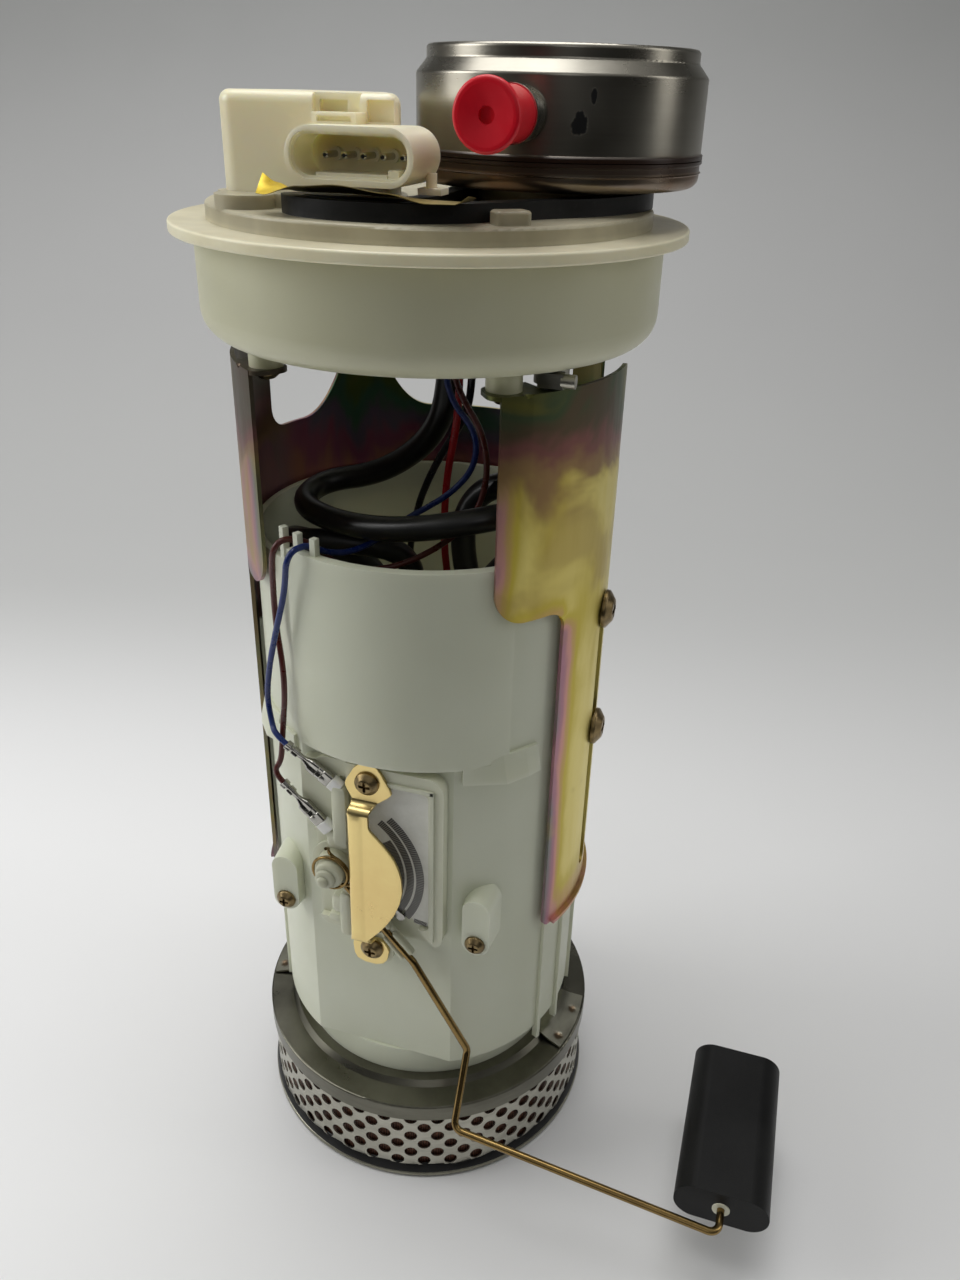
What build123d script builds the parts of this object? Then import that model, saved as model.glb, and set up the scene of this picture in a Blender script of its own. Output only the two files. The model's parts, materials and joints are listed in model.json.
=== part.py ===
from build123d import *
from math import atan2, cos, degrees, pi, radians, sin, sqrt, tan
import os

# In-tank fuel pump module. Millimetres, +Z up. The origin is the centre of the flat
# bottom of the strainer, and -Y is the side that carries the level sensor.
# Azimuths are in degrees from -Y towards +X.

# ---------------------------------------------------------------- driving dimensions
FIT_GAP = 0.3            # clearance between moving or loosely seated curved faces
RUNNING_GAP = 0.06       # radial clearance of a running fit
SHEET = 1.2              # bracket sheet
TIN = 0.8                # stainless sheet of the strainer

STRAINER_R = 62.5        # rolled rim of the strainer
STRAINER_H = 37.2        # rim of the top plate above the base
BAND_INSET = 1.5         # from the rim in to the perforated band
BAND_T = 0.5
LIP_H = 6.5              # lip of the top plate over the band
RIDGE_INSET = 8.5        # from the rim in to the stamped step of the top plate
RIDGE_H = 2.0
HOLE_R = 2.35
HOLE_ROWS = 6
HOLE_COLUMNS = 40
HOLE_PITCH = 4.42        # height between rows of holes
FIRST_ROW_Z = 7.6
POTTING_LOW = 2.0
POTTING_HIGH = 5.4
MESH_T = 0.4
INLET_R = 8.0

BOWL_R = 54.0            # outside of the reservoir
BOWL_T = 2.0
BOWL_LOW = 50.0
BOWL_RIM = 234.0
FLAT_DEPTH = 6.0         # flat face behind the sensor, in from the bowl's outside
FLAT_TOP = 175.0         # ledge where the flat ends
PANEL_T = 1.2            # raised front panel
PANEL_RIM = 238.6
PANEL_START = -27.0
PANEL_END = 45.0
FOOT_STEP = 5.0          # from the bowl's outside in to its foot
FOOT_T = 2.5
COMB_AZIMUTHS = (-31.0, -24.0, -17.0)
COMB_H = 5.0
RIB_AZIMUTHS = (66.0, 79.0, 101.0, 114.0)
RIB_PROUD = 1.3
RIB_LOW = 44.0
RIB_HIGH = 200.0
HOOK_START = 29.8
HOOK_STEP = 40.0
HOOK_END = 56.0
HOOK_LOW = 169.5
HOOK_H = 8.5
HOOK_PROUD = 4.3
BOSS_X = 33.3
BOSS_Z = 110.0
BOSS_R = 5.6
BOSS_RISE = 13.0
BOSS_PROUD = 2.0         # face of the screw bosses before the flat
BOSS_DRAFT = 6.0

BRACKET_CLEARANCE = 1.8  # between the reservoir and the sheet bracket
BRACKET_TOP = 286.0
WING_LOW = 222.3
BAND_TOP = 254.0
WING_START = 37.5
WING_END = 95.0
WING_CORNER = 9.5
LEG_START = 62.0
LEG_END = 118.0
LEG_LOW = 101.5
LEG_LIP = 1.4
NECK_AZIMUTH = 136.0
NECK_HALF = 8.0
NECK_FLARE = 7.0
SLOT_W = 7.0
SLOT_LOW = 111.0
SLOT_HIGH = 215.0
TAB_DEPTH = 11.5
TAB_START = 34.5
TAB_END = 52.0
TAB_BOSS_AZIMUTH = 41.0
TAB_SCREW_INSET = 6.7    # from the bracket's outside to its screws
BACK_START = 172.0       # the halves stop here, either side of the back's middle
GUSSET_AZIMUTH = 45.0
GUSSET_R = 2.0
SLIDE_TRAVEL = 50.0

SLOT_SCREW_HEAD_R = 6.0
SLOT_SCREW_HEAD_H = 3.0
SLOT_SCREW_SHANK_R = 2.0
SLOT_SCREW_PITCH = 43.0

FLANGE_R = 70.0
FLANGE_T = 3.1
FLANGE_LOW = 318.0
PLATFORM_R = 60.1
PLATFORM_H = 4.2
CUP_R = 63.8
CUP_T = 2.8
CUP_LOW = 291.0
CUP_EDGE = 8.0
CUP_BOSS_R = 4.7
CUP_SEAT = 0.6           # depth of the flange's recess for the cup
LUG_AZIMUTH = 39.0

PAD_H = 3.2
TOWER_LEFT = -43.3
TOWER_H = 22.6
TOWER_FRONT = 37.0
TOWER_EDGE = 2.6
TOWER_CORNER = 5.0
SHROUD_X = -1.3
SHROUD_Z = 338.4
SHROUD_W = 31.4
SHROUD_H = 12.4
SHROUD_WALL = 1.9
SHROUD_FACE = 52.0
SHROUD_FLOOR = 41.0
PIN_COUNT = 5
PIN_PITCH = 4.76
PIN_SHIFT = 2.2          # pins sit right of the shroud's middle
PIN_R = 0.75
PIN_TIP = 48.5

CAN_X = 31.3
CAN_Y = 13.3
CAN_R = 38.0
CAN_T = 1.0
CAN_LIFT = 1.0           # bottom of the canister above the rubber ring
CAN_H = 32.0
SEAM_UP = 7.0            # rolled seam above the canister's bottom
CAN_NECK_IN = 2.7
CAN_NECK_H = 3.2
SEAT_R = 21.4
NIPPLE_DROP = 14.8       # nipple below the canister's top
NIPPLE_R = 4.0
NIPPLE_SLEEVE_R = 5.0
NIPPLE_REACH = 28.0      # tip of the nipple from the canister's wall
NIPPLE_RING_AT = 10.3
PLUG_R = 6.1
PLUG_DISC_R = 7.6
PLUG_TRAVEL = 25.0
GASKET_W = 4.8
GASKET_H = 4.2
FOIL_T = 0.25

SENSOR_SCREWS_Z = (167.5, 100.9)
PIVOT_X = -13.5
PIVOT_Z = 131.5
HUB_R = 4.8
AXLE_R = 2.2
ARM_OUT = 6.3            # the float wire's plane before the flat
ARM_PASS = 6.5           # the wire's plane outside the strainer's rim
WIRE_R = 1.25
HOLDER_ANGLE = -49.0
HOLDER_LENGTH = 39.0
WIRE_START = 7.2          # end of the wire from the pivot
WIPER_ANGLE = -36.0
FLOAT_X = 122.8
FLOAT_Z = 31.0
FLOAT_W = 31.0
FLOAT_H = 14.5
FLOAT_LENGTH = 60.0
FLOAT_FRONT = -60.0

PUMP_Y = 10.0
PUMP_R = 19.0
PUMP_T = 1.4
PUMP_LOW = 62.0
PUMP_HIGH = 158.0
ROTOR_R = 13.0
SHAFT_R = 2.0

HOSE_R = 3.65
HOSE_BORE = 2.6
PIPE_R = 2.5
LEAD_R = 0.9
PUMP_LEAD_R = 1.1
SUPPLY_X, SUPPLY_Y = 8.0, -6.0
RETURN_X, RETURN_Y = 42.5, -27.0
GROMMET_X, GROMMET_Y = 14.3, -17.5
BARB_X, BARB_Y = 8.0, 10.0
JET_X, JET_Y = -1.5, -3.0

# ---------------------------------------------------------------- worked-out places
BOWL_FLAT = BOWL_R - FLAT_DEPTH
BOSS_FACE = BOWL_FLAT + BOSS_PROUD
FOOT_R = BOWL_R - FOOT_STEP
BAND_R = STRAINER_R - BAND_INSET
RIDGE_R = STRAINER_R - RIDGE_INSET
BRACKET_R = BOWL_R + BRACKET_CLEARANCE + SHEET
TAB_BOSS_R = BRACKET_R - TAB_SCREW_INSET
ARM_PLANE = BOWL_FLAT + ARM_OUT
ARM_OUTER_PLANE = STRAINER_R + ARM_PASS
FLANGE_TOP = FLANGE_LOW + FLANGE_T
PLATFORM_TOP = FLANGE_TOP + PLATFORM_H
PAD_TOP = PLATFORM_TOP + PAD_H
DECK_Z = STRAINER_H + RIDGE_H
BRACKET_IN = BRACKET_R - SHEET
PIPE_END = CUP_LOW - 9.0
SLOT_SCREW_TOP_Z = SLOT_HIGH - SLOT_W / 2 - 0.2
HOUSING_FACE = BOWL_FLAT + 4.2
CARD_SEAT = BOWL_FLAT + 2.0
COVER_IN = ARM_PLANE + WIRE_R + 0.6
CAN_LOW = PLATFORM_TOP + GASKET_H + CAN_LIFT
CAN_TOP = CAN_LOW + CAN_H
CAN_SEAM = CAN_LOW + SEAM_UP
CAN_NECK_R = CAN_R - CAN_NECK_IN
NIPPLE_Z = CAN_TOP - NIPPLE_DROP


# ---------------------------------------------------------------- helpers
def polar(azimuth, radius, z=0.0):
    angle = radians(azimuth)
    return Vector(radius * sin(angle), -radius * cos(angle), z)


def profile(points, rounds=None):
    """Closed flat outline, with a radius for each corner named in rounds."""
    face = make_face(Polyline(*points, close=True))
    for index, radius in (rounds or {}).items():
        corner = face.vertices().sort_by_distance(Vector(*points[index], 0))[0]
        face = fillet(corner, radius)
    return face


def turned(points, rounds=None):
    """Solid of revolution about Z from a profile of (radius, height) points."""
    return revolve(Plane.XZ * profile(points, rounds), Axis.Z, 360)


def disc(radius, low, high, x=0.0, y=0.0):
    return Pos(x, y, low) * extrude(Circle(radius), amount=high - low)


def tube(outer, inner, low, high, x=0.0, y=0.0):
    return disc(outer, low, high, x, y) - disc(inner, low - 1, high + 1, x, y)


def ring_sector(inner, outer, start, end, low, high):
    """Part of a ring between two azimuths."""
    middle = (start + end) / 2
    edges = [
        ThreePointArc(polar(start, outer), polar(middle, outer), polar(end, outer)),
        Line(polar(end, outer), polar(end, inner)),
        ThreePointArc(polar(end, inner), polar(middle, inner), polar(start, inner)),
        Line(polar(start, inner), polar(start, outer)),
    ]
    return Pos(0, 0, low) * extrude(make_face(edges), amount=high - low, dir=(0, 0, 1))


def bar(x0, x1, y0, y1, z0, z1):
    """Box between two corners."""
    return Pos((x0 + x1) / 2, (y0 + y1) / 2, (z0 + z1) / 2) * Box(x1 - x0, y1 - y0, z1 - z0)


def facing(x, z, front):
    """Plane that looks along -Y, at distance front from the axis."""
    return Plane(origin=(x, -front, z), x_dir=(1, 0, 0), z_dir=(0, -1, 0))


def mirrored(shape):
    return shape.mirror(Plane.YZ)


def both_sides(shape):
    return shape + mirrored(shape)


def bend_radii(points):
    """Largest tangent arcs that the runs of a route leave room for."""
    points = [Vector(*point) for point in points]
    radii = []
    for before, here, after in zip(points, points[1:], points[2:]):
        turn = radians((here - before).get_angle(after - here))
        shorter = min((here - before).length, (after - here).length)
        radii.append(0.45 * shorter / tan(turn / 2))
    return radii


def route(points):
    return FilletPolyline(*points, radius=bend_radii(points))


def swept(points, outer, inner=0.0):
    """Round bar or tube along a route of straight runs and tangent arcs."""
    path = route(points)
    section = Plane(origin=path @ 0, z_dir=path % 0) * Circle(outer)
    shape = sweep(section, path=path)
    if inner > 0:
        bore = Plane(origin=path @ 0, z_dir=path % 0) * Circle(inner)
        shape = shape - sweep(bore, path=path)
    return shape


def domed_screw(head_r, head_h, shank_r, shank_l):
    """Cross-recess screw with a domed head, head underside at the origin, head up."""
    body = turned(
        [(0, -shank_l), (shank_r, -shank_l), (shank_r, 0), (head_r, 0),
         (head_r, 0.35 * head_h), (0.55 * head_r, head_h), (0, head_h)],
        {4: 0.3 * head_h, 5: 0.5 * head_h},
    )
    blade = Box(0.95 * head_r, 0.24 * head_r, 1.1 * head_h)
    cross = Pos(0, 0, head_h) * (blade + Rot(0, 0, 90) * blade)
    return body - cross


# ---------------------------------------------------------------- strainer
def strainer_top_plate():
    lip_r = STRAINER_R
    deck_inner = INLET_R + FIT_GAP
    low = STRAINER_H - LIP_H
    return turned(
        [(deck_inner, DECK_Z), (RIDGE_R - 1.6, DECK_Z), (RIDGE_R, STRAINER_H),
         (lip_r, STRAINER_H), (lip_r, low), (lip_r - TIN, low), (lip_r - TIN, STRAINER_H - TIN),
         (RIDGE_R - 0.4, STRAINER_H - TIN), (RIDGE_R - 2.0, DECK_Z - TIN),
         (deck_inner, DECK_Z - TIN)],
        {3: 0.6},
    )


def perforated_band():
    band = tube(BAND_R, BAND_R - BAND_T, TIN, STRAINER_H - TIN)
    step = 360 / HOLE_COLUMNS
    prism = extrude(RegularPolygon(HOLE_R, 6), amount=4 * BAND_T, both=True)
    holes = []
    for row in range(HOLE_ROWS):
        height = FIRST_ROW_Z + HOLE_PITCH * row
        for column in range(HOLE_COLUMNS):
            azimuth = step * (column + 0.5 * (row % 2))
            spot = Plane(origin=polar(azimuth, BAND_R, height), z_dir=polar(azimuth, 1))
            holes.append(spot * prism)
    return band - Compound(holes)


def strainer_mesh():
    outer = BAND_R - BAND_T - FIT_GAP
    return tube(outer, outer - MESH_T, TIN, STRAINER_H - TIN)


def potting_ring():
    outer = STRAINER_R - 0.9
    return tube(outer, BAND_R + 0.04, POTTING_LOW, POTTING_HIGH)


def strainer_bottom_plate():
    rim_r = STRAINER_R + 0.2
    return turned(
        [(0, 0), (rim_r, 0), (rim_r, POTTING_LOW), (BAND_R, POTTING_LOW), (BAND_R, TIN), (0, TIN)],
        {1: 0.7, 2: 0.7},
    )


def clip_plates():
    """Tabs welded to the rim that lock the reservoir to the strainer."""
    low = STRAINER_H
    plate = ring_sector(RIDGE_R + 0.4, STRAINER_R - 1.2, 69, 95, low, low + TIN)
    for azimuth in (74, 90):
        spot = polar(azimuth, STRAINER_R - 4.5, low + TIN)
        plate = plate - Pos(*spot) * Cylinder(1.3, 0.5)
    return both_sides(plate)


# ---------------------------------------------------------------- reservoir
def bowl_space(radius, flat, low, high, ledge):
    """Round space with a flat front below the ledge."""
    space = disc(radius, low, high)
    return space - bar(-radius, radius, -radius - 5, -flat, low - 1, ledge)


def screw_boss():
    """Tall boss with draft that carries a screw, at the positive side."""
    back = BOWL_FLAT - 8
    slot = facing(BOSS_X, BOSS_Z + BOSS_RISE / 2, back) * (
        Rot(0, 0, 90) * SlotCenterToCenter(BOSS_RISE, 2 * BOSS_R))
    boss = extrude(slot, amount=BOSS_FACE - back, taper=BOSS_DRAFT)
    return boss - extrude(facing(BOSS_X, BOSS_Z, BOSS_FACE - 6) * Circle(1.6), amount=8)


def hook():
    """Catch under the ledge: its faces slope out and down from the wall."""
    outer, wall = BOWL_R + HOOK_PROUD, BOWL_R + PANEL_T
    middle, late = HOOK_STEP + 3, HOOK_END - 5
    low = [polar(HOOK_START, wall), polar(middle, outer), polar(late, outer - 0.6), polar(HOOK_END, outer - 1.2)]
    high = [polar(HOOK_START, wall), polar(middle, wall), polar(late, wall), polar(HOOK_END, wall)]
    inner = [polar(HOOK_END, BOWL_R - 1), polar(middle, BOWL_R - 1), polar(HOOK_START, BOWL_R - 1)]
    faces = []
    for height, points in ((HOOK_LOW, low), (HOOK_LOW + HOOK_H, high)):
        faces.append(Pos(0, 0, height) * make_face(Polyline(*points, *inner, close=True)))
    catch = loft(faces, ruled=True)
    step = polar(HOOK_STEP, BOWL_R)
    return catch - bar(0, step.X, -BOWL_R - 10, step.Y + 8, HOOK_LOW + HOOK_H - 2.5, HOOK_LOW + HOOK_H + 1)


def reservoir():
    inner_r = BOWL_R - BOWL_T
    floor_top = BOWL_LOW + BOWL_T + 1
    body = bowl_space(BOWL_R, BOWL_FLAT, BOWL_LOW, BOWL_RIM, FLAT_TOP)
    body = body + ring_sector(inner_r, BOWL_R + PANEL_T, PANEL_START, PANEL_END, FLAT_TOP, PANEL_RIM)
    body = body + disc(FOOT_R, DECK_Z, BOWL_LOW) + disc(INLET_R, STRAINER_H - 15, BOWL_LOW)
    body = body - bowl_space(inner_r, BOWL_FLAT - BOWL_T, floor_top, PANEL_RIM + 1, FLAT_TOP + BOWL_T)
    body = body - tube(FOOT_R - FOOT_T, INLET_R, DECK_Z - 1, BOWL_LOW)
    body = body - disc(INLET_R - BOWL_T, 0, floor_top + 1)
    for azimuth in COMB_AZIMUTHS:
        body = body + ring_sector(inner_r, BOWL_R, azimuth - 1, azimuth + 1, BOWL_RIM, PANEL_RIM + COMB_H)
    socket = tube(PUMP_R + 3.4, PUMP_R + 1.6, floor_top, PUMP_LOW + 8, 0, PUMP_Y)
    body = body + socket
    for height in slot_screw_heights():
        boss = extrude(Plane.YZ * Pos(0, height) * Circle(4.6), amount=BOWL_R + 2, dir=(1, 0, 0))
        boss = boss & ring_sector(BOWL_R - 7, BOWL_R - 1, 80, 100, BOWL_LOW, BOWL_RIM)
        body = body + both_sides(boss)
        bore = Plane.YZ * Pos(0, height) * Circle(SLOT_SCREW_SHANK_R)
        body = body - extrude(bore, amount=2 * BOWL_R, both=True)
    for azimuth in RIB_AZIMUTHS:
        rib = ring_sector(BOWL_R - 1, BOWL_R + RIB_PROUD, azimuth - 0.8, azimuth + 0.8, RIB_LOW, RIB_HIGH)
        body = body + both_sides(rib)
    return body + both_sides(hook()) + both_sides(screw_boss())


def slot_screw_heights():
    return (SLOT_SCREW_TOP_Z, SLOT_SCREW_TOP_Z - SLOT_SCREW_PITCH)


def slot_screws():
    """Shoulder screws in the reservoir's sides that carry the bracket's slots."""
    shoulder_r = SLOT_W / 2 - 0.2
    head_at = BRACKET_R + FIT_GAP
    shoulder = Cylinder(shoulder_r, head_at - BOWL_R, align=(Align.CENTER, Align.CENTER, Align.MAX))
    screw = domed_screw(SLOT_SCREW_HEAD_R, SLOT_SCREW_HEAD_H, SLOT_SCREW_SHANK_R, head_at - BOWL_R + 6)
    screw = screw + shoulder
    screws = []
    for height in slot_screw_heights():
        place = Plane(origin=(head_at, 0, height), x_dir=(0, 1, 0), z_dir=(1, 0, 0))
        right = place * screw
        screws.extend([right, mirrored(right)])
    return Compound(screws)


def boss_screws():
    screw = domed_screw(3.35, 2.2, 1.6, 5.5)
    return Compound([facing(side * BOSS_X, BOSS_Z, BOSS_FACE) * screw for side in (-1, 1)])


# ---------------------------------------------------------------- level sensor
def sensor_housing():
    outline = Pos(1.45, 139.25) * RectangleRounded(43.1, 66.5, 5)
    body = facing(0, 0, BOWL_FLAT) * outline
    body = extrude(body, amount=HOUSING_FACE - BOWL_FLAT)
    lugs = facing(0, 0, BOWL_FLAT) * (Pos(-0.6, 102) * RectangleRounded(13, 15, 4))
    body = body + extrude(lugs, amount=HOUSING_FACE - BOWL_FLAT)
    recess = facing(0, 0, CARD_SEAT) * (Pos(2.0, 139.5) * RectangleRounded(32.4, 54, 2))
    body = body - extrude(recess, amount=10)
    opening = facing(0, 0, CARD_SEAT) * (Pos(-16, 126.5) * RectangleRounded(20, 35, 2))
    body = body - extrude(opening, amount=10)
    corner = facing(0, 0, CARD_SEAT) * (Pos(10, 108) * Rot(0, 0, -49) * Rectangle(26, 13))
    body = body - extrude(corner, amount=10)
    terminal_block = facing(0, 0, BOWL_FLAT) * (
        Pos(-17.5, 160) * RectangleRounded(13, 22, 3))
    body = body + extrude(terminal_block, amount=HOUSING_FACE - BOWL_FLAT - 1)
    shelf = facing(0, 0, HOUSING_FACE - 1) * (Pos(-17, 160.5) * RectangleRounded(17, 31, 2))
    body = body - extrude(shelf, amount=10)
    step = facing(0, 0, BOWL_FLAT) * (Pos(PIVOT_X, PIVOT_Z) * Circle(8.5))
    body = body + extrude(step, amount=CARD_SEAT - BOWL_FLAT + 1.0)
    axle = facing(0, 0, BOWL_FLAT) * (Pos(PIVOT_X, PIVOT_Z) * Circle(AXLE_R))
    body = body + extrude(axle, amount=COVER_IN - BOWL_FLAT)
    for height in SENSOR_SCREWS_Z:
        body = body - extrude(facing(-1, height, BOWL_FLAT) * Circle(1.6), amount=10)
    return body


def card_outline():
    return Pos(7, 139.5) * Rectangle(21.5, 52)


def resistor_card():
    card = extrude(facing(0, 0, CARD_SEAT) * card_outline(), amount=0.8)
    corner = facing(0, 0, CARD_SEAT) * (Pos(10, 108) * Rot(0, 0, -49) * Rectangle(26, 13))
    return card - extrude(corner, amount=3)


def arc_band(inner, outer, start, end):
    """Flat arc about the pivot, angles from +X towards +Z."""
    angles = [radians(value) for value in (start, (start + end) / 2, end)]
    far = [(outer * cos(a), outer * sin(a)) for a in angles]
    near = [(inner * cos(a), inner * sin(a)) for a in reversed(angles)]
    edges = [ThreePointArc(*far), Line(far[2], near[0]), ThreePointArc(*near), Line(near[2], far[0])]
    return make_face(edges)


def resistor_track():
    bands = []
    for inner, outer, top_angle in ((19.6, 23.2, 37), (24.0, 26.4, 53), (27.2, 29.8, 50)):
        band = facing(PIVOT_X, PIVOT_Z, CARD_SEAT + 0.8) * arc_band(inner, outer, -34, top_angle)
        bands.append(extrude(band, amount=0.15, dir=(0, -1, 0)))
    dash = facing(15.0, 114.5, CARD_SEAT + 0.8) * (Rot(0, 0, -8) * Rectangle(4.4, 1.5))
    bands.append(extrude(dash, amount=0.15))
    return Compound(bands)


def cover_plate():
    """Sheet guard over the wiper, held by a lug and a screw at each end."""
    face_at = HOUSING_FACE
    raised = COVER_IN - HOUSING_FACE
    left, spine_right = -6.5, -1.5
    arc_r, arc_x, arc_z = 29.6, -18.8, 128.5
    guard = Pos(arc_x, arc_z) * Circle(arc_r)
    guard = guard & (Pos(left + 15, 130) * Rectangle(30, 49))
    plate = extrude(facing(0, 0, COVER_IN) * guard, amount=SHEET)
    spine = Pos((left + spine_right) / 2, 130.4) * Rectangle(spine_right - left, 51.2)
    plate = plate + extrude(facing(0, 0, COVER_IN) * spine, amount=SHEET)
    rib = Pos(left + 1.8, 130) * RectangleRounded(2.4, 50, 1.1)
    plate = plate + extrude(facing(0, 0, COVER_IN + SHEET) * rib, amount=0.5)
    top_lug = profile([(-7.5, 166), (-4.5, 160.5), (2.4, 160.5), (6.0, 164.5), (1.5, 174.5), (-3.5, 174.5)],
                      {0: 1.0, 3: 1.0, 4: 1.5, 5: 1.5})
    bottom_lug = profile([(-6.5, 105.5), (-6.5, 98), (-2.5, 94.6), (2.0, 95.5), (3.0, 105.5)],
                         {1: 1.5, 2: 1.5, 3: 1.5})
    for lug in (top_lug, bottom_lug):
        plate = plate + extrude(facing(0, 0, face_at) * lug, amount=SHEET)
    riser = raised + SHEET
    for low, high in ((156.0, 161.5), (105.0, 106.2)):
        lift = bar(left, spine_right, -face_at - riser, -face_at, low, high)
        plate = plate + lift
    for height in SENSOR_SCREWS_Z:
        plate = plate - extrude(facing(-1, height, face_at - 1) * Circle(1.8), amount=4)
    return plate


def sensor_screws():
    screw = domed_screw(3.9, 2.4, 1.6, 5.0)
    return Compound([facing(-1, height, HOUSING_FACE + SHEET) * screw for height in SENSOR_SCREWS_Z])


TERMINALS = ((-27.7, 175.6, -36.4), (-29.8, 161.1, -45.0))


def terminal_plane(x, z, angle, front):
    return facing(x, z, front) * Rot(0, 0, angle)


def receptacles():
    """Crimped female terminals pushed on the sensor's blades."""
    shells = []
    for x, z, angle in TERMINALS:
        box = Pos(13.8, 0, 1.6) * Box(8.4, 4.8, 2.4)
        box = fillet(box.edges().filter_by(Axis.X), 0.9)
        waist = loft([Plane.YZ.offset(5.6) * Pos(0, 1.6) * Rectangle(1.7, 1.7),
                      Plane.YZ.offset(9.8) * Pos(0, 1.6) * Rectangle(4.4, 2.0)])
        barrel = Pos(0.4, 0, 1.6) * Rot(0, 90, 0) * Cylinder(1.45, 5.6, align=(Align.CENTER, Align.CENTER, Align.MIN))
        wings = Pos(1.4, 0, 1.6) * Box(1.6, 4.2, 1.6)
        shell = box + waist + barrel + wings
        shell = shell - Pos(16.2, 0, 1.6) * Box(5.0, 3.8, 0.9)
        shells.append(terminal_plane(x, z, angle, HOUSING_FACE - 1) * shell)
    return Compound(shells)


def spade_terminals():
    blades = []
    for x, z, angle in TERMINALS:
        blade = Pos(17.6, 0, 1.6) * Box(7.2, 3.4, 0.7)
        root = Pos(20.2, 0, 0.8) * Box(1.6, 3.4, 1.6)
        blades.append(terminal_plane(x, z, angle, HOUSING_FACE - 1) * (blade + root))
    return Compound(blades)


def along_arm(distance, offset=0.0, angle=HOLDER_ANGLE):
    """Point in the sensor's plane at a distance from the pivot."""
    turn = radians(angle)
    return (PIVOT_X + distance * cos(turn) - offset * sin(turn),
            PIVOT_Z + distance * sin(turn) + offset * cos(turn))


def arm_hub():
    """Moulded hub with the bar that holds the float wire."""
    back = CARD_SEAT + 1.3
    bar_back = HOUSING_FACE + 0.3
    tip = COVER_IN + 2.0
    hub = extrude(facing(PIVOT_X, PIVOT_Z, back) * Circle(HUB_R + 1.2), amount=ARM_PLANE - back)
    hub = hub + extrude(facing(PIVOT_X, PIVOT_Z, back) * Circle(HUB_R), amount=tip - back)
    nose = facing(PIVOT_X, PIVOT_Z, tip) * (Pos(-0.4, 0) * RectangleRounded(6.4, 5.0, 2.0))
    hub = hub + extrude(nose, amount=1.8)
    x, z = along_arm(HOLDER_LENGTH / 2)
    bar_outline = facing(x, z, bar_back) * (Rot(0, 0, HOLDER_ANGLE) * RectangleRounded(HOLDER_LENGTH, 5.6, 1.2))
    hub = hub + extrude(bar_outline, amount=ARM_PLANE - bar_back)
    hub = hub - groove_cut() - wiper()
    hub = hub - extrude(facing(PIVOT_X, PIVOT_Z, back - 1) * Circle(AXLE_R + RUNNING_GAP),
                        amount=COVER_IN + 0.3 - back + 1)
    return hub


def wire_point(distance):
    x, z = along_arm(distance)
    return Vector(x, -ARM_PLANE, z)


def groove_cut():
    start = wire_point(WIRE_START - 0.2)
    end = wire_point(HOLDER_LENGTH + 4)
    section = Plane(origin=start, z_dir=(end - start).normalized()) * Circle(WIRE_R + RUNNING_GAP)
    return extrude(section, amount=(end - start).length)


def float_wire():
    """Bent wire from the hub, out past the strainer and through the float."""
    start = wire_point(WIRE_START)
    leave = wire_point(HOLDER_LENGTH + 2.5)
    knee = (33.2, -ARM_PLANE - 0.6, 67.0)
    jog = (33.4, -ARM_OUTER_PLANE, 44.6)
    corner = (FLOAT_X, -ARM_OUTER_PLANE, FLOAT_Z)
    tip = (FLOAT_X, FLOAT_FRONT + FLOAT_LENGTH + 3.2, FLOAT_Z)
    points = [start, leave, Vector(*knee), Vector(*jog), Vector(*corner), Vector(*tip)]
    path = FilletPolyline(*points, radius=[6.0, 3.2, 3.2, 3.6])
    section = Plane(origin=path @ 0, z_dir=path % 0) * Circle(WIRE_R)
    return sweep(section, path=path)


def wiper():
    """Spring contact that sweeps the resistor tracks."""
    back = CARD_SEAT + 1.35
    x, z = along_arm(16.5, 0, WIPER_ANGLE)
    blade = facing(x, z, back) * (Rot(0, 0, WIPER_ANGLE) * RectangleRounded(24, 3.0, 1.2))
    blade = extrude(blade, amount=0.4)
    x, z = along_arm(7.0, 0, WIPER_ANGLE)
    root = facing(x, z, back) * (Rot(0, 0, WIPER_ANGLE) * Rectangle(5, 3.0))
    root = extrude(root, amount=CARD_SEAT + 2.1 - back)
    reach = extrude(facing(PIVOT_X, PIVOT_Z, back - 1) * Circle(HUB_R - 0.5), amount=3)
    return (blade + root) - reach


def hub_spring():
    """Wire loop that keeps the hub pressed on its axle."""
    ring_y = ARM_PLANE + WIRE_R
    loop = facing(PIVOT_X, PIVOT_Z, ring_y) * Torus(HUB_R + 0.75, 0.7)
    post = Pos(PIVOT_X - 0.4, -ring_y, PIVOT_Z + HUB_R + 3.1) * Cylinder(0.6, 4.4)
    return loop + post


def float_body():
    section = facing(FLOAT_X, FLOAT_Z, -FLOAT_FRONT) * RectangleRounded(FLOAT_W, FLOAT_H, 7.0)
    body = extrude(section, amount=-FLOAT_LENGTH)
    bore = facing(FLOAT_X, FLOAT_Z, -FLOAT_FRONT + 1) * Circle(WIRE_R + FIT_GAP)
    body = body - extrude(bore, amount=-FLOAT_LENGTH - 2)
    seat = facing(FLOAT_X, FLOAT_Z, -FLOAT_FRONT) * Circle(2.9)
    return body - extrude(seat, amount=-FLOAT_LENGTH / 5)


def float_bushing():
    outer = facing(FLOAT_X, FLOAT_Z, -FLOAT_FRONT + 0.3) * Circle(2.9)
    bore = facing(FLOAT_X, FLOAT_Z, -FLOAT_FRONT + 2) * Circle(WIRE_R + RUNNING_GAP)
    return extrude(outer, amount=-FLOAT_LENGTH / 5 - 0.3) - extrude(bore, amount=-FLOAT_LENGTH)


def float_clip():
    at = -FLOAT_FRONT - FLOAT_LENGTH - 0.4
    ring = facing(FLOAT_X, FLOAT_Z, at) * (Circle(2.6) - Circle(WIRE_R))
    return extrude(ring, amount=-0.8)


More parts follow.
